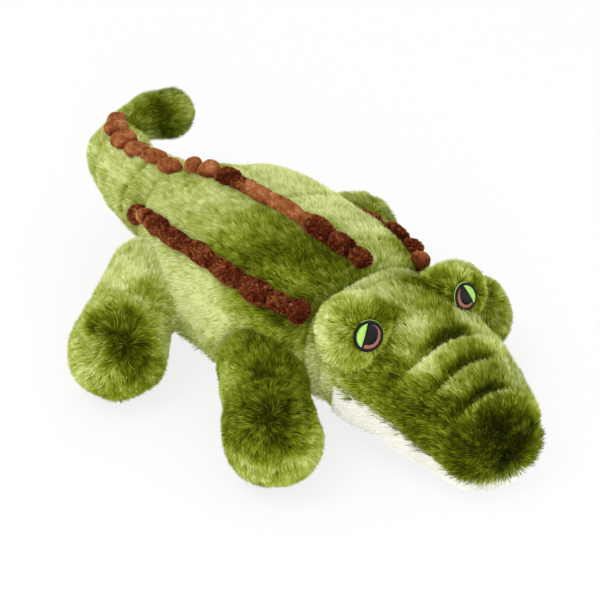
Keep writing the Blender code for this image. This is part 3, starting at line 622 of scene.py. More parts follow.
def insideHead(points, margin):
    flat = points / mm
    rowPlaces = np.linspace(0, 1, 300)
    table = smooth(head["rows"], rowPlaces)
    share = 1 - (head["back"] - flat[:, 1]) / head["length"]
    place = np.interp(share, table[:, 0], rowPlaces)
    row = smooth(head["rows"], place)
    top, middle, low = (row[:, k] * head["height"] for k in (2, 3, 4))
    reach = np.where(flat[:, 2] > middle, top - middle, middle - low)
    drift = math.tan(head["turned"]) * (1 - share) * head["length"]
    size = (((flat[:, 0] - drift) / (head["halfWidth"] * row[:, 1] - margin)) ** 2
            + ((flat[:, 2] - middle) / (reach - margin)) ** 2)
    return (size < 1) & (share > 0) & (share < 1)


def fromNose(points):
    return points[..., 1] / mm - (head["back"] - head["length"])


def chinShare(points, softness=0.8):
    # How far points in metres lie under the mouth's seam, from 0 above it to 1 below
    ahead = fromNose(points)
    seam = head["height"] * (head["mouthAtNose"]
                             + (head["mouthAtNeck"] - head["mouthAtNose"]) * ahead / head["length"])
    seam = seam + head["mouthLift"] * bump(ahead - head["mouthLiftAt"], head["mouthLiftReach"])
    return step(seam, points[..., 2] / mm, softness) * step(head["throat"] * head["length"], ahead, softness)


print("head")
grid, headPlace, headAngle = gridOf(headPoint, np.linspace(head["firstPlace"], 1, head["rings"]),
                                    np.linspace(0, 2 * math.pi, head["columns"], endpoint=False))
headForm = Form(grid)
chin = chinShare(grid)
rowCount = len(head["rows"]) - 1
rowAt = headPlace * rowCount
signed = (headAngle + math.pi) % (2 * math.pi) - math.pi
overSnout = step(signed, head["grooveFrom"], 0.09) * step(-signed, -head["grooveTo"], 0.09)
wideSnout = step(signed, head["grooveFrom"] * 1.5, 0.12) * step(-signed, -head["grooveTo"] * 1.4, 0.12)
grooves = sum(bump(rowAt - row, 0.2) for row in head["grooveRows"])
rolls = sum(bump(rowAt - row, 0.6) for row in head["rollRows"])
headForm.push(-(head["inset"] + (head["chinInset"] - head["inset"]) * chin) * mm)
shoulder = bump(signed - head["shoulderAt"], head["shoulderReach"])
shoulder = shoulder * step(rowAt, 4, 0.7) * step(-rowAt, -10.5, 0.8)
headForm.push(head["shoulder"] * shoulder * mm)
relief = head["rollRise"] * rolls * wideSnout - head["grooveDepth"] * grooves * overSnout
headForm.push(relief * (1 - chin) * mm)
hollows = sum(near(headForm.points, place, head["hollowReach"]) for place in head["hollows"])
headForm.push((waves(headForm.points, 45 * mm, 31) * 0.9 - head["hollowDepth"] * hollows) * mm * (1 - chin))
headForm.floorAt((hideClear + head["jowlLift"] * step(fromNose(headForm.points), head["jowlFrom"], 4)) * mm)
headTone = paint(headForm.points, 0.36, [
    # between the brows and over the forehead, with painted shade in the hollows beside the brows
    ((-20, -146, 115), 9, 0.0), ((-14, -119, 123), 12, 0.98), ((-53, -150, 88), 9, 0.06),
    ((34, -129, 116), 13, 0.12), ((18, -150, 113), 11, 0.34), ((2, -138, 119), 10, 0.62),
    ((36, -100, 110), 14, 0.70), ((-12, -118, 122), 14, 0.84), ((-20, -168, 103), 10, 0.54),
    ((-4, -160, 109), 12, 0.94), ((1, -176, 102), 8, 0.24), ((14, -170, 104), 8, 0.50),
    ((24, -170, 102), 8, 0.30), ((49, -164, 94), 13, 0.90),
    # rolls of the snout, and the light strip along its far side
    ((-20, -181, 95), 12, 0.92), ((-6, -196, 93), 9, 0.42), ((16, -194, 95), 9, 0.44),
    ((48, -188, 82), 13, 0.90), ((-17, -206, 84), 8, 0.62), ((6, -214, 83), 9, 0.42),
    ((26, -210, 82), 9, 0.50), ((43, -214, 68), 11, 0.90), ((-14, -226, 69), 7, 0.46),
    ((8, -230, 67), 8, 0.34), ((24, -228, 66), 8, 0.50), ((41, -232, 51), 9, 0.70),
    # tip of the snout
    ((-6, -246, 52), 21, 0.05), ((14, -250, 46), 15, 0.04), ((-26, -238, 50), 13, 0.06),
    ((-14, -256, 20), 11, 0.26), ((24, -254, 22), 13, 0.18), ((16, -254, 36), 14, 0.06),
    ((-34, -234, 32), 13, 0.10), ((-40, -198, 56), 12, 0.08),
    # cheek and jowl
    ((-45, -160, 90), 13, 0.20), ((-57, -158, 76), 12, 0.28), ((-44, -181, 79), 13, 0.14),
    ((-38, -206, 63), 15, 0.08), ((-50, -186, 58), 13, 0.30), ((-28, -208, 76), 9, 0.26),
    ((-40, -224, 44), 13, 0.14), ((-64, -136, 80), 11, 0.52), ((-68, -118, 60), 14, 0.98),
    ((-62, -146, 60), 10, 0.40),
    # the far cheek, which the photograph hides
    ((60, -150, 70), 22, 0.56)])
# Painted shade in the snout's grooves and a painted highlight on the edge of each roll on the nose side of a
# groove
grooveShade = sum(bump(rowAt - row - 0.2, 0.28) for row in head["grooveRows"]) * overSnout
rollHighlight = sum(bump(rowAt - row + 0.34, 0.2) for row in head["grooveRows"]) * overSnout
headTone = headTone - 0.40 * grooveShade + 0.34 * rollHighlight + waves(headForm.points, 30 * mm, 71) * 0.05
headSkin = Form(capped(headForm.points, 0, 10 * mm))
capTone = np.full((capSteps, head["columns"]), 0.6)
capRows = np.zeros((capSteps, head["columns"]))
skin = hideMesh("head_hide", headSkin, np.vstack([headTone, capTone]), "acrylicPlushGreen",
                "polyesterMinkyCream", np.vstack([chin, capRows]))
finishPiece(skin, "plush_green", "head", stands=("head_stuffing",), padded=0.85)

# Neck, a soft fold of plush between the torso and the head
neck = {"columns": 144, "rows": 16, "from": -0.9, "to": 1.9, "sink": 4.2, "tuck": 9.0, "overlap": 8}
neckRows = []
neckTurn = np.linspace(0, 2 * math.pi, neck["columns"], endpoint=False)
torsoRim = torsoPoint(np.zeros(neck["columns"]), neckTurn) * mm
headRim = headPoint(np.ones(neck["columns"]), neckTurn) * mm
for share in np.linspace(neck["from"], neck["to"], neck["rows"]):
    ring = headRim + (torsoRim - headRim) * np.clip(share, 0, 1)
    ring[:, 1] = (head["back"] + (torso["front"] - head["back"]) * share) * mm
    middle = ring.mean(0)
    outward = unit((ring - middle) * np.array([1, 0, 1]))
    neckRows.append(ring - outward * (neck["sink"] + neck["tuck"] * (share - 0.5) ** 2) * mm)
neckForm = Form(np.array(neckRows))
neckForm.floorAt(head["jowlLift"] * mm)
neckStart = (0, (torso["front"] + neck["overlap"]) * mm, 0.06)
neckEnd = (0, (head["back"] - neck["overlap"]) * mm, 0.06)
neckTone = paint(neckForm.points, 0.90, [
    ((-12, -96, 122), 24, 0.84), ((30, -98, 114), 20, 0.76), ((-60, -96, 90), 12, 0.40),
    ((-64, -100, 60), 22, 0.96)])
neckSkin = hideMesh("neck_hide", neckForm, neckTone)
finishPiece(neckSkin, "plush_green", between=("torso", "head", neckStart, neckEnd), stands=("neck_gusset",))

# Legs
# Each leg's crown is the place where its pile stands up and parts, in millimetres
legs = {
    "front_right": {
        "side": -1, "waisted": 1.0, "share": 0.24, "angle": 101, "radius": 40.0, "reach": 74.0, "swept": 56,
        "base": 0.36, "crown": (-130, -128, 76), "spots": [
            ((-88, -50, 72), 12, 0.30), ((-94, -66, 78), 14, 0.14), ((-84, -92, 76), 14, 0.26),
            ((-84, -108, 66), 11, 0.24), ((-118, -62, 60), 12, 0.56), ((-124, -86, 68), 9, 0.44),
            ((-118, -104, 76), 12, 0.12), ((-100, -98, 80), 12, 0.06), ((-112, -126, 78), 12, 0.14),
            ((-98, -132, 68), 10, 0.24), ((-134, -134, 74), 17, 0.12), ((-150, -116, 64), 9, 0.30),
            ((-140, -146, 60), 11, 0.14), ((-154, -138, 54), 9, 0.24), ((-124, -154, 62), 10, 0.26),
            ((-106, -154, 56), 9, 0.56), ((-158, -140, 36), 12, 0.74), ((-146, -152, 42), 9, 0.52),
            ((-124, -162, 42), 12, 0.66), ((-104, -158, 34), 12, 0.60), ((-140, -156, 16), 16, 0.50)]},
    "front_left": {
        "side": 1, "waisted": 1.0, "share": 0.24, "angle": 101, "radius": 35.0, "reach": 51.0, "swept": 42,
        "base": 0.50, "crown": (112, -112, 72), "spots": [
            ((108, -112, 74), 14, 0.34), ((120, -122, 58), 14, 0.56), ((118, -130, 34), 14, 0.44)]},
    "rear_right": {
        "side": -1, "waisted": 0.2, "share": 0.71, "angle": 94, "radius": 41.0, "reach": 80.0, "swept": 34.5,
        "base": 0.62, "crown": (-154, 22, 66), "spots": [
            ((-80, 112, 84), 18, 0.84), ((-104, 82, 86), 18, 0.94), ((-102, 58, 80), 9, 0.56),
            ((-118, 42, 78), 12, 0.48), ((-118, 34, 70), 9, 0.50), ((-124, 18, 60), 12, 0.80),
            ((-116, 20, 48), 12, 0.70), ((-157, 40, 77), 11, 0.18), ((-146, 28, 74), 13, 0.14),
            ((-154, 18, 64), 17, 0.14), ((-140, 14, 58), 12, 0.18), ((-148, 10, 44), 10, 0.14),
            ((-170, 30, 62), 9, 0.42), ((-182, 38, 50), 14, 0.74), ((-174, 26, 40), 9, 0.56),
            ((-164, 15, 32), 10, 0.40), ((-138, 9, 32), 12, 0.30), ((-150, 8, 22), 13, 0.28),
            ((-160, 20, 8), 22, 0.34)]},
    "rear_left": {
        "side": 1, "waisted": 0.2, "share": 0.71, "angle": 94, "radius": 41.0, "reach": 56.0, "swept": 43,
        "base": 0.60, "crown": (128, 38, 78), "spots": [
            ((128, 40, 78), 18, 0.56), ((120, 60, 84), 12, 0.74)]},
}
legRows = {
    "front": [(0.0, 0.90), (0.25, 0.89), (0.5, 0.87), (0.75, 0.95), (1.0, 1.0)],
    "rear": [(0.0, 0.91), (0.25, 0.90), (0.5, 0.88), (0.75, 0.95), (1.0, 1.0)]}
legShape = {
    "rings": 60, "footRings": 24, "columns": 96, "inset": 5.2, "startInside": 38.0, "roundStart": 26.0,
    "soleSeam": 13.0, "soleReach": 2.0, "soleDepth": 2.0, "ankle": 0.58, "ankleReach": 0.10, "ankleDepth": 3.2,
    "sag": 1.1, "pivot": 9.0, "collar": (-12, 22)}


def limbGrid(centres, directions, radii, columns):
    # A swept tube in metres from centres and radii in millimetres, with its first column on top
    turns = np.linspace(0, 2 * math.pi, columns, endpoint=False)
    across = unit(np.cross((0, 0, 1), directions))
    up = np.cross(directions, across)
    spin = np.cos(turns)[None, :, None] * up[:, None] - np.sin(turns)[None, :, None] * across[:, None]
    points = centres[:, None] + spin * radii[:, None, None]
    return points * mm, np.broadcast_to(turns, points.shape[:2])


for name, leg in legs.items():
    print("leg", name)
    angle = leg["side"] * math.radians(leg["angle"])
    hip = torsoPoint(np.array(leg["share"]), np.array(angle))
    drop = leg["radius"] - pressed - hip[2]
    level = math.sqrt(leg["reach"] ** 2 - drop ** 2)
    swept = math.radians(leg["swept"])
    direction = unit(np.array([leg["side"] * math.cos(swept) * level, -math.sin(swept) * level, drop]))
    leg["hip"], leg["direction"] = hip, direction
    runs = np.linspace(-legShape["startInside"] / leg["reach"], 1, legShape["rings"])
    girth = smooth(legRows[name.split("_")[0]], np.clip(runs, 0, 1))[:, 1] * leg["radius"]
    # The sleeve starts round, so that no edge of it stands out of the rump
    inwards = np.clip(1 - (runs - runs[0]) * leg["reach"] / legShape["roundStart"], 0, 1)
    girth = girth * np.sqrt(1 - 0.8 * inwards ** 2)
    rounding = np.linspace(0, math.radians(86), legShape["footRings"])[1:]
    centres = np.concatenate([hip + direction * (runs * leg["reach"])[:, None],
                              hip + direction * (leg["reach"] + leg["radius"] * np.sin(rounding))[:, None]])
    radii = np.concatenate([girth, leg["radius"] * np.cos(rounding)])
    grid, turns = limbGrid(centres, np.broadcast_to(direction, centres.shape), radii, legShape["columns"])
    form = Form(grid)
    form.push(np.full(grid.shape[:2], -legShape["inset"] * mm))
    onTop = np.clip(np.cos(turns), 0, 1)
    reachOf = ((form.points / mm - hip) @ direction) / leg["reach"]
    ankle = bump(reachOf - legShape["ankle"], legShape["ankleReach"]) * (0.3 + 0.7 * onTop)
    sag = waves(form.points, 42 * mm, 41 + len(name)) * legShape["sag"]
    form.push((-legShape["ankleDepth"] * leg["waisted"] * ankle + sag) * mm)
    rim = bump(form.points[..., 2] / mm - legShape["soleSeam"], legShape["soleReach"])
    form.push(-legShape["soleDepth"] * rim * mm)
    form.floorAt(hideClear * mm)
    leg["form"] = form
    # No pile inside the torso or under the sole, and less of it low down
    heightOf = form.points[..., 2]
    leg["onLeg"] = (reachOf > -0.8) * (heightOf > 1.6 * mm) * (1 - 0.4 * (heightOf < 12 * mm))
    # Painted shade along the sole seam and in the ankle crease
    leg["tone"] = paint(form.points, leg["base"], leg["spots"]) - 0.16 * rim - 0.08 * ankle * leg["waisted"]
    leg["tone"] = leg["tone"] + waves(form.points, 24 * mm, 43) * 0.05
    fromCrown = form.points - np.array(leg["crown"]) * mm
    leg["comb"] = fromCrown - np.array([0, 0, 4]) * mm + swirl(form.points, 51)
    leg["lean"] = longCoat["lean"] - 18 * near(form.points, leg["crown"], 26)
    pivot = hip + direction * legShape["pivot"]
    collarEnds = (tuple((pivot + direction * run) * mm) for run in legShape["collar"])
    leg["between"] = ("torso", "leg_" + name, *collarEnds)
    skin = hideMesh("leg_hide_" + name, form, leg["tone"])
    finishPiece(skin, "plush_green", between=leg["between"],
                stands=("leg_root_" + name, "sole_panel_" + name, "leg_stuffing_" + name), padded=0.85)

# Tail: a straight stretch, a bend to the left, a waist, and a tip that curls on
tail = {
    "start": (0.0, 163.18, 72.04), "straight": 40.0, "bendRadius": 106.0, "bend": math.radians(40),
    "rise": 6.0, "joint": 14.0, "tipRadius": 31.0, "tipBend": math.radians(94), "tipStraight": 8.0,
    "inset": 5.2, "baseGirth": 39.5, "fullGirth": 26.3, "waistGirth": 20.5, "tipGirth": 24.5,
    "waistRun": 20.0, "columns": 88, "startInside": 30.0, "pitch": 2.0,
    "dent": 6.0, "pinch": 2.4, "collarFold": 2.6, "dimple": 6.0, "dimplePlace": (66, 269, 94),
    "crease": 4.0, "creasePlace": (62, 264, 77)}


def tailPath():
    # Centres, directions and radii down the tail in millimetres, and the rows where it starts and bends
    base = tail["straight"] + tail["bendRadius"] * tail["bend"]
    tipRun = tail["tipRadius"] * tail["tipBend"]
    rise = tail["rise"] / (base - tail["straight"])
    end = base + tail["joint"] + tipRun + tail["tipStraight"]
    walk = np.arange(-tail["startInside"], end, tail["pitch"])
    bent = (tail["bend"] * np.clip((walk - tail["straight"]) / (base - tail["straight"]), 0, 1)
            + tail["tipBend"] * np.clip((walk - base - tail["joint"]) / tipRun, 0, 1))
    heading = math.pi / 2 - bent
    directions = unit(np.stack([np.cos(heading), np.sin(heading), rise * (walk > tail["straight"])], -1))
    steps = np.cumsum(directions * tail["pitch"], axis=0)
    start = int(np.argmin(np.abs(walk)))
    centres = np.array(tail["start"]) + steps - steps[start]
    radii = np.interp(walk, [0, base], [tail["baseGirth"], tail["fullGirth"]])
    pinched = step(walk, base - tail["waistRun"] / 2, tail["waistRun"] / 6)
    waist = base + tail["joint"]
    tip = np.interp(walk, [waist, waist + tipRun], [tail["waistGirth"], tail["tipGirth"]])
    radii = radii * (1 - pinched) + tip * pinched
    rounding = np.linspace(0, math.radians(86), 20)[1:]
    last = radii[-1]
    centres = np.vstack([centres, centres[-1] + directions[-1] * (last * np.sin(rounding))[:, None]])
    directions = np.vstack([directions, np.broadcast_to(directions[-1], (len(rounding), 3))])
    radii = np.append(radii, last * np.cos(rounding))
    atBend = int(np.argmin(np.abs(walk - base)))
    return centres, directions, radii, start, atBend


print("tail")
tailCentres, tailDirections, tailRadii, tailStart, tailBend = tailPath()
grid, tailTurns = limbGrid(tailCentres, tailDirections, tailRadii, tail["columns"])
tailForm = Form(grid)
tailForm.push(np.full(grid.shape[:2], -tail["inset"] * mm))
rowNumber = np.arange(len(tailCentres))[:, None] * np.ones(tail["columns"])
# The outer, upper side of the tip sinks behind its round end, and the inner side folds at the bend
outerTop = np.clip(np.cos(tailTurns + math.radians(50)), 0, 1)
outer = np.clip(np.cos(tailTurns + math.radians(75)), 0, 1)
dent = bump(rowNumber - (tailBend + 17), 10) * outerTop
swell = 3.6 * bump(rowNumber - (tailBend - 2), 7) + 4.5 * bump(rowNumber - (tailStart + 8), 9)
tailForm.push(swell * outer * mm)
collarFold = bump(rowNumber - (tailStart + 7), 1.5) * outerTop
pinch = bump(rowNumber - (tailBend + 6), 4) * (1 + np.sin(tailTurns)) / 2
sag = waves(tailForm.points, 46 * mm, 61) * 1.1
tailForm.push((sag - tail["pinch"] * pinch - tail["dent"] * dent - tail["collarFold"] * collarFold) * mm)
dimple = near(tailForm.points, tail["dimplePlace"], 13)
fromCrease = (tailForm.points / mm - np.array(tail["creasePlace"])) * np.array([0.7, 1, 1.6])
crease = bump(np.linalg.norm(fromCrease, axis=-1), 8)
tailForm.push(-(tail["dimple"] * dimple + tail["crease"] * crease) * mm)
tailTone = paint(tailForm.points, 0.72, [
    ((-8, 196, 108), 22, 0.84), ((-20, 226, 84), 24, 0.74), ((-30, 190, 92), 20, 0.76),
    ((-36, 160, 88), 18, 0.62), ((6, 250, 100), 16, 0.66), ((40, 272, 92), 12, 0.44),
    ((60, 276, 104), 10, 0.30), ((84, 284, 104), 9, 0.50), ((96, 262, 86), 12, 0.52),
    ((78, 262, 72), 9, 0.40), ((-10, 160, 112), 20, 0.82), ((10, 220, 104), 20, 0.86)])
# Painted shade in the collar fold, the dimple, the crease and the pinch at the waist
tailTone = tailTone - 0.18 * collarFold - 0.74 * dimple - 0.55 * crease - 0.2 * pinch
tailTone = tailTone + waves(tailForm.points, 26 * mm, 62) * 0.05
split = tailBend + 2
tailForms = {"tail": Form(tailForm.points[:split + 1]), "tail_tip": Form(tailForm.points[split:])}
tailTones = {"tail": tailTone[:split + 1], "tail_tip": tailTone[split:]}
jointPlace = tailCentres[tailBend] + tailDirections[tailBend] * tail["joint"] / 2
tailBetween = {
    "tail": ("torso", "tail", (0, 0.137, 0.072), (0, 0.172, 0.072)),
    "tail_tip": ("tail", "tail_tip", tuple((jointPlace - tailDirections[tailBend] * 9) * mm),
                 tuple((jointPlace + tailDirections[tailBend] * 16) * mm))}
tailStands = {"tail": ("tail_root", "tail_stuffing"), "tail_tip": ("tail_tip_stuffing", "tail_bend_gusset")}
for name, form in tailForms.items():
    skin = hideMesh(name + "_hide", form, tailTones[name])
    finishPiece(skin, "plush_green", between=tailBetween[name], stands=tailStands[name], padded=0.85)

# Brow domes, hoods of plush over the eyes
brow = {
    "across": 31.0, "deep": 27.0, "row": 0.86, "tilt": math.radians(20), "inset": 4.6, "hollow": 6.0,
    "sides": {
        "right": {
            "side": -1, "up": 30.0, "angle": math.radians(40), "turn": math.radians(16),
            "eyeSize": (1.12, 1.0), "sunk": 0.0, "base": 0.50, "spots": [
            ((-59, -114, 131), 9, 0.50), ((-44, -132, 136), 9, 0.84), ((-71, -122, 120), 12, 0.92),
            ((-74, -130, 102), 12, 0.82), ((-57, -138, 132), 7, 0.34), ((-47, -143, 131), 6, 0.36),
            ((-33, -146, 127), 9, 0.10), ((-26, -138, 124), 8, 0.20), ((-70, -144, 112), 7, 0.46),
            ((-64, -148, 98), 8, 0.50), ((-36, -120, 130), 11, 0.90)]},
        "left": {
            "side": 1, "up": 25.5, "angle": math.radians(48), "turn": math.radians(-11),
            "eyeSize": (0.9, 0.93), "sunk": 2.6, "base": 0.40, "spots": [
            ((50, -118, 128), 13, 0.86), ((64, -134, 122), 11, 0.70), ((36, -132, 118), 10, 0.12),
            ((44, -144, 120), 8, 0.26), ((64, -152, 113), 8, 0.14), ((74, -138, 104), 12, 0.66),
            ((44, -152, 106), 8, 0.30)]}}}
brows = {}
for which, dome in brow["sides"].items():
    side, turned, tilt = dome["side"], dome["turn"], brow["tilt"]
    centre = headPoint(np.array(brow["row"]), np.array(side * dome["angle"]))
    level = math.cos(tilt)
    forward = np.array([side * math.sin(turned) * level, -math.cos(turned) * level, math.sin(tilt)])
    across = unit(np.cross(forward, (0, 0, 1))) * -side
    up = unit(np.cross(forward, across)) * side
    polar = np.linspace(math.radians(3), math.radians(177), 64)
    spin = np.linspace(0, 2 * math.pi, 96, endpoint=False)
    p, s = np.meshgrid(polar, spin, indexing="ij")
    points = (centre + across * (brow["across"] * np.sin(p) * np.cos(s))[..., None]
              + up * (side * dome["up"] * np.sin(p) * np.sin(s))[..., None]
              + forward * (brow["deep"] * np.cos(p))[..., None]) * mm
    form = Form(points)
    if ((form.normals() * (points - centre * mm)).sum(-1) > 0).mean() < 0.5:
        points, p = points[:, ::-1], p[:, ::-1]
        form = Form(points)
    height = np.clip((points / mm - centre) @ up / dome["up"], 0, 1)
    form.push((waves(points, 30 * mm, 65 + side) * 0.8 - brow["inset"] - dome["sunk"] * height) * mm)
    made = dict(dome, form=form, polar=p, centre=centre, across=across, upward=up, forward=forward,
                tone=paint(form.points, dome["base"], dome["spots"]))
    brows[which] = made
    skin = hideMesh("brow_hide_" + which, form, made["tone"])
    finishPiece(skin, "plush_green", "head", stands=("brow_stuffing_" + which,), padded=0.85)


# Fur

def legAway(points, margin):
    # Which points are clear of every leg's inside
    clear = np.ones(len(points), bool)
    for leg in legs.values():
        offset = points / mm - leg["hip"]
        along = offset @ leg["direction"]
        far = np.linalg.norm(offset - along[:, None] * leg["direction"], axis=1)
        clear &= ~((along > 0) & (far < leg["radius"] * 0.88 - margin))
    return clear


print("torso fur")
thinning = {"right": 1.0, "left": 0.75}  # the side that faces away has fewer strands
downNap = np.stack([np.sin(angleOf) * 0.25, np.ones_like(angleOf), -0.55 * np.abs(np.sin(angleOf))], -1)
for side, half in (("right", angleOf > math.pi), ("left", angleOf <= math.pi)):
    onBack = downward < flankSeam(side, placeOf)
    for stem, area in (("back", onBack), ("side", ~onBack)):
        where = (1 - bellyShare) * half * area * thinning[side]
        blades = grow(torsoForm, longCoat, where=where, comb=downNap, tone=torsoTone)
        blades = keep(blades, legAway(blades["root"], 7))
        node = f"{stem}_panel_{side}"
        shareOut(blades, "fur_" + node, "acrylicPlushGreen", "plush_green", (node,), body="torso")
rump = Form(torsoSkin.points[-8:])
offset = rump.points / mm - np.array(tail["start"])
clearOfTail = np.hypot(offset[..., 0], offset[..., 2]) > tail["baseGirth"] - 9
blades = grow(rump, longCoat, where=clearOfTail * (rump.points[..., 2] > 20 * mm), tone=0.6,
              comb=everywhere(rump, (0, 0.4, -1)))
shareOut(blades, "fur_rump", "acrylicPlushGreen", "plush_green", (), body="torso")
blades = grow(torsoForm, dict(minkyCoat, density=0.5), where=bellyShare, comb=everywhere(torsoForm, (0, 1, 0)))
shareOut(blades, "nap_belly_panel", "polyesterMinkyCream", "minky_cream", ("belly_panel",), body="torso")

print("neck fur")
neckWhere = np.zeros(neckForm.points.shape[:2])
neckWhere[4:-4] = 1
blades = grow(neckForm, dict(longCoat, length=8.0, lean=42.0), where=neckWhere, tone=neckTone,
              comb=everywhere(neckForm, (0, 1, 0)))
shareOut(blades, "fur_neck", "acrylicPlushGreen", "plush_green", (),
         between=("torso", "head", neckStart, neckEnd))

print("head fur")
# From a crown at the tip of the snout the pile lies back towards the neck and down the cheeks
fromTip = unit(headForm.along())
fromTip[..., 2] -= 0.45 * (1 - np.cos(headAngle))
atTip = near(headForm.points, head["tip"], 26)
fromTip = fromTip + atTip[..., None] * swirl(headForm.points, 55) / (14 * mm)
upright = longCoat["lean"] - 22 * near(headForm.points, head["tip"], 20)
# The pile is sheared beside the mouth's seam, but hangs over the chin near the nose
besideMouth = np.clip(chinShare(headForm.points - np.array([0, 7, 6]) * mm, 1.5) - chin, 0, 1)
nearThroat = step(fromNose(headForm.points), 46, 9)
longer = 1 + besideMouth * (0.3 - 0.95 * nearThroat)
browHollow = {
    which: (dome["across"], dome["upward"], dome["forward"],
            (brow["across"] - brow["hollow"], dome["up"] - brow["hollow"], brow["deep"] - brow["hollow"]))
    for which, dome in brows.items()}
blades = grow(headForm, longCoat, where=1 - chin, comb=fromTip, tone=headTone + 0.16 * besideMouth,
              longer=longer, lean=upright)
clearOfBrows = np.ones(len(blades["root"]), bool)
for which, dome in brows.items():
    offset = blades["root"] / mm - dome["centre"]
    axes, reaches = browHollow[which][:3], browHollow[which][3]
    clearOfBrows &= sum(((offset @ axis) / reach) ** 2 for axis, reach in zip(axes, reaches)) > 1
blades = keep(blades, clearOfBrows & (blades["root"][:, 1] < (head["back"] - 4) * mm))
shareOut(blades, "fur_head_top_panel", "acrylicPlushGreen", "plush_green", ("head_top_panel",), body="head")
blades = grow(headForm, minkyCoat, where=chin, comb=fromTip)
shareOut(blades, "nap_jaw_panel", "polyesterMinkyCream", "minky_cream", ("jaw_panel",), body="head")

print("brow fur")
eyeClear = 11.5  # the pile starts this far from the eye's middle, in millimetres
for which, dome in brows.items():
    form = dome["form"]
    fromEye = form.points - (dome["centre"] + dome["forward"] * brow["deep"]) * mm
    far = np.linalg.norm(fromEye, axis=-1)
    # Long hanging pile below the outer corner, a shaggy upper edge, and a close lie beside the cheek
    high, outward = fromEye @ dome["upward"] / mm, fromEye @ dome["across"] / mm
    hanging = np.clip(-high / 24, 0, 1) * step(outward, 3, 3)
    besideCheek = np.clip(-high / 14, 0, 1) * step(-outward, 0, 4)
    longer = 0.9 + 1.0 * hanging + 0.25 * np.clip(high / 20, 0, 1)
    longer = longer - 0.3 * bump(far, 14 * mm) - 0.35 * besideCheek
    backward = fromEye * 0.7 + np.array([0, 12, -8]) * mm + swirl(form.points, 58) * 0.5
    backward = backward + besideCheek[..., None] * np.array([0, 22, -10]) * mm
    backward = backward + hanging[..., None] * np.array([0, 0, -44]) * mm
    lean = 60 + 6 * hanging + 14 * besideCheek
    tone = dome["tone"] * (1 - 0.7 * besideCheek) + 0.34 * 0.7 * besideCheek
    coat = dict(longCoat, density=2.0, stray=17.0, strayLean=9.0, tuft=0.5)
    blades = grow(form, coat, where=(far > eyeClear * mm).astype(float), comb=backward, tone=tone,
                  longer=longer, lean=lean)
    blades = keep(blades, ~insideHead(blades["root"], 7) & (blades["root"][:, 1] < (head["back"] + 3) * mm))
    node = "brow_" + which
    shareOut(blades, "fur_" + node, "acrylicPlushGreen", "plush_green", (node,), body="head")

print("leg fur")
for name, leg in legs.items():
    where = leg["onLeg"] * thinning[name.split("_")[1]]
    blades = grow(leg["form"], longCoat, where=where, comb=leg["comb"], tone=leg["tone"], lean=leg["lean"])
    blades = keep(blades, ~insideTorso(blades["root"], 4))
    shareOut(blades, "fur_leg_skin_" + name, "acrylicPlushGreen", "plush_green", ("leg_skin_" + name,),
             between=leg["between"])

print("tail fur")
for name, form in tailForms.items():
    blades = grow(form, longCoat, tone=tailTones[name])
    blades = keep(blades, ~insideTorso(blades["root"], 6))
    stands = (name + "_skin",)
    shareOut(blades, "fur_" + stands[0], "acrylicPlushGreen", "plush_green", stands, between=tailBetween[name])

# Ridges: scallops of rust-brown cloth, some with a curled pile and some worn smooth
ridge = {"halfWidth": 6.5, "height": 9.5, "notch": 0.42, "steps": 14, "columns": 22, "sunk": 1.2,
         "uneven": 0.9}


def ridgeForm(spine, up, across, sizes, fullness, flatness, seed, sunk=None, evenness=None):
    # A row of scallops of given sizes along a spine, in metres, as an open half tube.
    # sunk is how deep it lies in the pile, in millimetres, and evenness fills the notches of each scallop
    rows, scallops = len(spine), len(sizes)
    along = np.linspace(0, scallops, rows)
    which = np.minimum(along.astype(int), scallops - 1)
    wave = np.abs(np.sin(math.pi * along)) ** fullness
    if evenness is not None:
        filled = np.interp(along, np.arange(scallops) + 0.5, evenness)
        wave = wave + (1 - wave) * filled
    source = np.random.default_rng(seed)
    aside = source.normal(size=scallops)[which] * wave * ridge["uneven"] * mm
    own = np.interp(along, np.arange(scallops) + 0.5, sizes) * 0.5 + np.array(sizes)[which] * 0.5
    size = (ridge["notch"] + (1 - ridge["notch"]) * wave) * own
    size = size * np.minimum(1, 0.35 + np.minimum(np.arange(rows), np.arange(rows)[::-1]) / 4)
    angles = np.linspace(math.radians(-142), math.radians(142), ridge["columns"])
    wide = np.sin(angles)[None, :, None] * across[:, None] * (ridge["halfWidth"] * mm * size)[:, None, None]
    tall = (np.cos(angles) + 0.45)[None, :, None] * up[:, None] * (
        ridge["height"] * flatness / 1.45 * mm * size)[:, None, None]
    depth = np.full(rows, ridge["sunk"]) if sunk is None else sunk
    base = spine - up * depth[:, None] * mm + across * aside[:, None]
    return Form(base[:, None] + wide + tall, closed=False), wave


def ridgeSkin(name, form, tone, **said):
    rows, columns, _ = form.points.shape
    faces = [(r * columns + c, r * columns + c + 1, (r + 1) * columns + c + 1, (r + 1) * columns + c)
             for r in range(rows - 1) for c in range(columns - 1)]
    faces += [((r + 1) * columns, (r + 1) * columns + columns - 1, r * columns + columns - 1, r * columns)
              for r in range(rows - 1)]
    faces += [tuple(range(columns))[::-1], tuple((rows - 1) * columns + k for k in range(columns))]
    made = addMesh(name, form.points.reshape(-1, 3), faces, pile["acrylicPlushRust"])
    chartMesh(made, tone.ravel(), np.full(tone.size, hideHeight))
    return finishPiece(made, "plush_brown", **said)


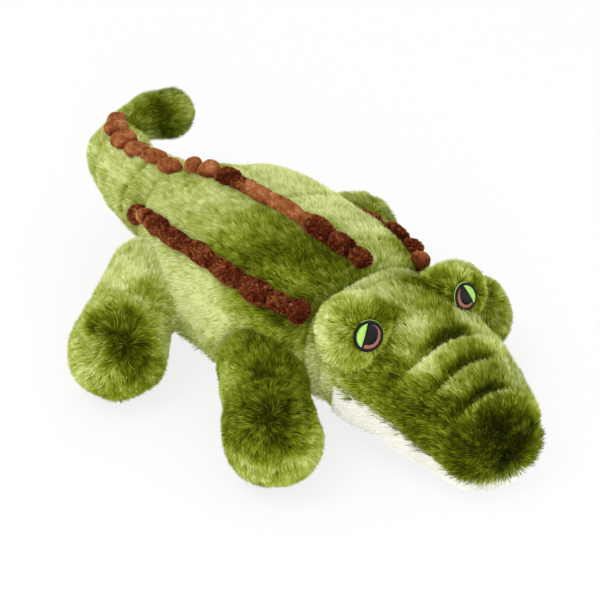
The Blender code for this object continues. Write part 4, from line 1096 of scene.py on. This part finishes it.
def dressRidge(name, form, wave, curled, seed, **said):
    # curled is the share of curled pile along the ridge, and the rest is worn smooth, paler and streaked
    rows, columns, _ = form.points.shape
    curly = np.broadcast_to(curled[:, None], (rows, columns))
    coarse, fine = waves(form.points, 14 * mm, seed) * 0.7, waves(form.points, 5 * mm, seed + 1) * 0.35
    form.push((coarse + fine * curly) * mm)
    tone = 0.62 - 0.36 * curly + waves(form.points, 20 * mm, seed + 2) * 0.08
    # Painted shade in the notches between scallops, and a painted highlight along the top of the ridge with
    # painted shade down its sides
    tone = tone - 0.24 * ((1 - wave) ** 2)[:, None]
    tone = tone + 0.10 * (np.cos(np.linspace(-2, 2, columns)) - 0.4)[None, :]
    ridgeSkin(name.replace("ridge", "ridge_cloth"), form, tone, **said)
    if curly.max() > 0.5:
        blades = grow(form, rustCoat, where=(curly > 0.5).astype(float), tone=tone + 0.06)
        shareOut(blades, "fur_" + name, "acrylicPlushRust", "plush_brown", (name,), **said)
    if curly.min() < 0.5:
        blades = grow(form, suedeCoat, where=(curly <= 0.5).astype(float), tone=tone)
        stands = () if curly.max() > 0.5 else (name,)
        shareOut(blades, "nap_" + name, "acrylicPlushRust", "plush_brown", stands, **said)


print("ridges")
# Each run: its seam, its places on the torso, the sizes of its scallops from front to rear, how far
# their notches are filled, the shares of it with a curled pile, and how deep its ends lie
ridgeRuns = {
    "back_ridge": {
        "seam": lambda p: np.full_like(p, torso["backSeam"]), "places": (0.085, 0.95), "sunk": (1.2, 1.2),
        "sizes": (1.0, 1.05, 1.1, 0.95, 0.95, 1.15, 1.15, 1.15),
        "evenness": (0.2, 0.1, 0.3, 0.8, 0.7, 0, -0.1, -0.3), "curled": [(0, 0.34), (0.60, 0.73)]},
    "flank_ridge_right": {
        "seam": lambda p: -flankSeam("right", p), "places": (0.06, 0.95), "sunk": (1.2, 1.2),
        "sizes": (1.3, 0.95, 1.3, 1.05, 1.0, 0.95, 1.1, 0.95, 1.15),
        "evenness": (0, 0.5, 0.1, 0.3, 0.4, 0.5, 0.3, 0.1, 0), "curled": [(0, 0.80), (0.9, 1.0)]},
    "flank_ridge_left": {
        "seam": lambda p: flankSeam("left", p), "places": (0.06, 0.945), "sunk": (1.2, 6.5),
        "sizes": (1.1, 1.0, 1.05, 0.9, 0.8, 0.75, 0.75, 0.7, 0.7),
        "evenness": (0, 0, 0, 0.2, 0.3, 0.3, 0.3, 0.3, 0), "curled": [(0.1, 0.6)]}}
for number, (name, run) in enumerate(ridgeRuns.items()):
    seam, scallops = run["seam"], len(run["sizes"])
    places = np.linspace(*run["places"], scallops * ridge["steps"] + 1)
    spine = torsoPoint(places, seam(places)) * mm
    aside = torsoPoint(places, seam(places) + 0.02) * mm - spine
    up = unit(np.cross(aside, np.gradient(spine, axis=0)))
    aside = unit(np.cross(np.gradient(spine, axis=0), up))
    share = np.linspace(0, 1, len(places))
    sunk = run["sunk"][0] + (run["sunk"][1] - run["sunk"][0]) * step(share, 0.37, 0.04)
    form, wave = ridgeForm(spine, up, aside, run["sizes"], 0.7, 1.0, 90 + number, sunk, run["evenness"])
    curled = sum(step(share, start, 0.006) * step(-share, -end, 0.006) for start, end in run["curled"])
    dressRidge(name, form, wave, np.clip(curled, 0, 1), 81 + 4 * number, body="torso")
tailRidge = {
    "ahead": 18.0, "beyond": 18.0, "angle": math.radians(-3), "flatness": 0.55,
    "sizes": (1.3, 1.45, 1.6, 1.7, 1.65, 1.15)}
ahead, beyond = (int(tailRidge[key] / tail["pitch"]) for key in ("ahead", "beyond"))
rows = np.arange(tailStart - ahead, tailBend + beyond)
across = unit(np.cross((0, 0, 1), tailDirections[rows]))
upright = np.cross(tailDirections[rows], across)
up = upright * math.cos(tailRidge["angle"]) - across * math.sin(tailRidge["angle"])
spine = (tailCentres[rows] + up * tailRadii[rows][:, None]) * mm
# Its first scallop rests on the rump
share = np.clip((spine[:, 1] / mm - torso["front"]) / torso["length"], 0, 1)
onRump = torsoPoint(share, np.zeros(len(spine)))[:, 2]
overRump = spine[:, 1] / mm < torso["front"] + torso["length"]
spine[:, 2] = np.where(overRump, np.maximum(spine[:, 2], (onRump - 1.5) * mm), spine[:, 2])
finer = np.linspace(0, len(rows) - 1, len(tailRidge["sizes"]) * ridge["steps"] + 1)
spine = np.stack([np.interp(finer, np.arange(len(rows)), spine[:, k]) for k in range(3)], -1)
up = unit(np.stack([np.interp(finer, np.arange(len(rows)), up[:, k]) for k in range(3)], -1))
aside = unit(np.cross(np.gradient(spine, axis=0), up))
form, wave = ridgeForm(spine, up, aside, tailRidge["sizes"], 0.5, tailRidge["flatness"], 97)
dressRidge("tail_ridge", form, wave, np.zeros(len(spine)), 97, between=tailBetween["tail_tip"])


# Eyes, in satin stitch: rows of thread laid side by side across each field

eye = {"halfWidth": 11.2, "halfHeight": 12.2, "thread": 0.55, "rise": 0.5, "sides": 5, "spans": 5, "sink": 1.2}


def eyePlace(dome, a, b, lift):
    # A point over a brow, in metres, from millimetres across and up from the eye's middle
    a, b = a * dome["eyeSize"][0], b * dome["eyeSize"][1]
    deep = brow["deep"] - eye["sink"] + lift
    rest = np.clip(1 - (a / brow["across"]) ** 2 - (b / dome["up"]) ** 2, 0, 1)
    flat = dome["centre"] + np.multiply.outer(a, dome["across"]) + np.multiply.outer(b, dome["upward"])
    return (flat + np.multiply.outer(deep * np.sqrt(rest), dome["forward"])) * mm


def stitches(dome, ends, lift):
    # Threads between pairs of end points, each a low bowed tube
    sides, spans = eye["sides"], eye["spans"]
    verts, faces = [], []
    for number, ((a0, b0), (a1, b1)) in enumerate(ends):
        share = np.linspace(0, 1, spans + 1)
        a, b = a0 + (a1 - a0) * share, b0 + (b1 - b0) * share
        spine = eyePlace(dome, a, b, lift + eye["rise"] * np.sin(math.pi * share) ** 0.5)
        run = unit(np.gradient(spine, axis=0))
        across = unit(np.cross(run, np.broadcast_to(dome["forward"], run.shape)))
        up = np.cross(across, run)
        ring = [spine + (across * math.cos(a) + up * math.sin(a)) * eye["thread"] / 2 * mm
                for a in np.linspace(0, 2 * math.pi, sides, endpoint=False)]
        base = number * sides * (spans + 1)
        verts.append(np.stack(ring, 1).reshape(-1, 3))
        for k in range(spans):
            for m in range(sides):
                n = (m + 1) % sides
                low, high = base + k * sides, base + (k + 1) * sides
                faces.append((low + m, low + n, high + n, high + m))
        faces.append(tuple(base + m for m in range(sides))[::-1])
        faces.append(tuple(base + spans * sides + m for m in range(sides)))
    return np.vstack(verts), faces


def scan(inside, heading, pitch, reach=14.0):
    # Ends of parallel stitches across the region where inside(a, b) is true
    run = np.array([math.cos(heading), math.sin(heading)])
    aside = np.array([-run[1], run[0]])
    ends = []
    walk = np.linspace(-reach, reach, 281)
    for offset in np.arange(-reach, reach, pitch):
        line = offset * aside + walk[:, None] * run
        hits = inside(line[:, 0], line[:, 1])
        if hits.sum() > 3:
            first, last = np.argmax(hits), len(hits) - 1 - np.argmax(hits[::-1])
            ends.append((line[first], line[last]))
    return ends


def ringStitches(outer, inner, first, last, pitch):
    # Stitches across a band between two ovals, from one angle to another
    count = int(abs(last - first) * 10 / pitch)
    made = []
    for angle in np.linspace(first, last, count):
        direction = np.array([math.cos(angle) * eye["halfWidth"], math.sin(angle) * eye["halfHeight"]])
        made.append((direction * inner, direction * outer))
    return made


def oval(a, b, share):
    return (a / eye["halfWidth"] / share) ** 2 + (b / eye["halfHeight"] / share) ** 2 < 1


def lidSide(a, b):
    # a is counted outwards from the eye's middle and b upwards, so the lid comes down over the outer corner
    return 0.91 * a / eye["halfWidth"] + 0.41 * b / eye["halfHeight"]


print("eyes")
pitch = eye["thread"] * 0.8
black = scan(lambda a, b: oval(a, b, 0.9), math.radians(70), pitch)
ring = ringStitches(1.0, 0.82, 0, 2 * math.pi, pitch)
lid = scan(lambda a, b: oval(a, b, 0.82) & (lidSide(a, b) > 0.30), math.radians(20), pitch)
pupil = scan(lambda a, b: (((a + 0.2) / 6.6) ** 2 + ((b - 1.8) / 8.6) ** 2 < 1) & (lidSide(a, b) < 0.28),
             math.radians(80), pitch)
iris = ringStitches(0.80, 0.50, math.radians(112), math.radians(306), pitch)
edge = ringStitches(1.03, 0.99, math.radians(70), math.radians(200), pitch)
fields = [
    ("eye", [(black, 0.0), (ring, 0.7), (pupil, 0.9)], "rayonThreadBlack", "thread_black"),
    ("eye_lid", [(lid, 0.6), (edge, 0.2)], "rayonThreadLime", "thread_lime"),
    ("eye_iris", [(iris, 0.6)], "rayonThreadRust", "thread_brown")]
for which, dome in brows.items():
    for stem, layers, thread, slot in fields:
        allVerts, allFaces = [], []
        for ends, lift in layers:
            verts, faces = stitches(dome, ends, lift)
            base = sum(len(v) for v in allVerts)
            allVerts.append(verts)
            allFaces += [tuple(i + base for i in face) for face in faces]
        made = addMesh(f"{stem}_stitches_{which}", np.vstack(allVerts), allFaces, plain[thread])
        finishPiece(made, slot, "head", stands=(f"{stem}_{which}",))

print("snout threads")
for number, row in enumerate(head["grooveRows"], 1):
    share = (row / rowCount - head["firstPlace"]) / (1 - head["firstPlace"])
    ringRow = int(round(share * (head["rings"] - 1)))
    first, last = (int(head[key] / (2 * math.pi) * head["columns"]) for key in ("grooveFrom", "grooveTo"))
    columns = np.arange(first, last + 1) % head["columns"]
    out = headForm.normals()[ringRow, columns]
    spine = headForm.points[ringRow, columns] + out * 0.5 * mm
    across = unit(np.cross(unit(np.gradient(spine, axis=0)), out))
    sides = [spine + (across * math.cos(a) + out * math.sin(a)) * 0.5 * mm
             for a in np.linspace(0, 2 * math.pi, 6, endpoint=False)]
    tube = np.stack(sides, 1)
    length, sideCount, _ = tube.shape
    faces = [(k * sideCount + m, k * sideCount + (m + 1) % sideCount,
              (k + 1) * sideCount + (m + 1) % sideCount, (k + 1) * sideCount + m)
             for k in range(length - 1) for m in range(sideCount)]
    faces += [tuple(range(sideCount))[::-1], tuple((length - 1) * sideCount + m for m in range(sideCount))]
    made = addMesh(f"snout_stitch_{number}", tube.reshape(-1, 3), faces, plain["cottonThreadGreen"])
    finishPiece(made, "plush_green", "head", stands=(f"snout_thread_{number}",))

# Floor, light and camera
studio = {"world": 0.74, "key": 7.0, "fill": 15.0, "rim": 3.0, "paper": "#FFFFFF", "glow": 0.8}


def seenDirectly(tree):
    # 1 for rays from the camera, from a glossy surface or through clear glass, and 0 for the rest
    path = addNode(tree, "ShaderNodeLightPath")
    either = addNode(tree, "ShaderNodeMath", {"operation": "MAXIMUM"}, {
        0: path.outputs["Is Camera Ray"], 1: path.outputs["Is Glossy Ray"]})
    return addNode(tree, "ShaderNodeMath", {"operation": "MAXIMUM"}, {
        0: either.outputs[0], 1: path.outputs["Is Transmission Ray"]}).outputs[0]


bpy.ops.mesh.primitive_plane_add(size=12)
floor = bpy.context.object
floor.name = "studio_floor"
paper, tree, shader = newMaterial("whitePaperFloor")
shader.inputs["Base Color"].default_value = colour(studio["paper"])
shader.inputs["Roughness"].default_value = 0.9
glow = addNode(tree, "ShaderNodeEmission", None, {"Color": colour(studio["paper"]), "Strength": 1.0})
share = addNode(tree, "ShaderNodeMath", {"operation": "MULTIPLY"}, {0: seenDirectly(tree), 1: studio["glow"]})
both = addNode(tree, "ShaderNodeMixShader", None, {
    0: share.outputs[0], 1: shader.outputs[0], 2: glow.outputs[0]})
tree.links.new(both.outputs[0], tree.nodes["Material Output"].inputs["Surface"])
floor.data.materials.append(paper)

world = bpy.data.worlds.new("softStudio")
bpy.context.scene.world = world
world.use_nodes = True
tree = world.node_tree
sky = tree.nodes["Background"]
strength = addNode(tree, "ShaderNodeMapRange", None, {
    "Value": seenDirectly(tree), "To Min": studio["world"], "To Max": 1.0})
tree.links.new(strength.outputs["Result"], sky.inputs["Strength"])
sky.inputs["Color"].default_value = (1, 1, 1, 1)


def softBox(name, place, target, size, power):
    light = bpy.data.lights.new(name, "AREA")
    light.shape = "DISK"
    light.size = size
    light.energy = power
    made = bpy.data.objects.new(name, light)
    made.location = place
    made.rotation_euler = (Vector(target) - Vector(place)).to_track_quat("-Z", "Y").to_euler()
    bpy.context.scene.collection.objects.link(made)


softBox("keyLight", (-0.9, 0.2, 1.7), (0, 0, 0.05), 0.9, studio["key"])
softBox("fillLight", (-1.1, -1.5, 0.6), (0, -0.1, 0.05), 1.2, studio["fill"])
softBox("rimLight", (1.2, 1.0, 1.4), (0, 0, 0.05), 0.9, studio["rim"])

bpy.context.scene.view_settings.view_transform = "Standard"
# The camera that was fitted to the photograph, with its focal length and frame in pixels
view = {"focal": 2193.84, "frame": 600, "sensor": 36.0, "place": (-0.9834, -1.1674, 1.0461),
        "target": (-0.0252, -0.0415, 0.0831)}
cameraData = bpy.data.cameras.new("camera")
cameraData.sensor_width = view["sensor"]
cameraData.lens = view["focal"] / view["frame"] * view["sensor"]
camera = bpy.data.objects.new("camera", cameraData)
bpy.context.scene.collection.objects.link(camera)
camera.location = view["place"]
camera.rotation_euler = (Vector(view["target"]) - camera.location).to_track_quat("-Z", "Y").to_euler()
bpy.context.scene.camera = camera

strandCount = sum(len(made.data.polygons) for made in pieces if made.name.startswith(("fur", "nap"))) // 3
print("strands", strandCount, "pieces", len(pieces))
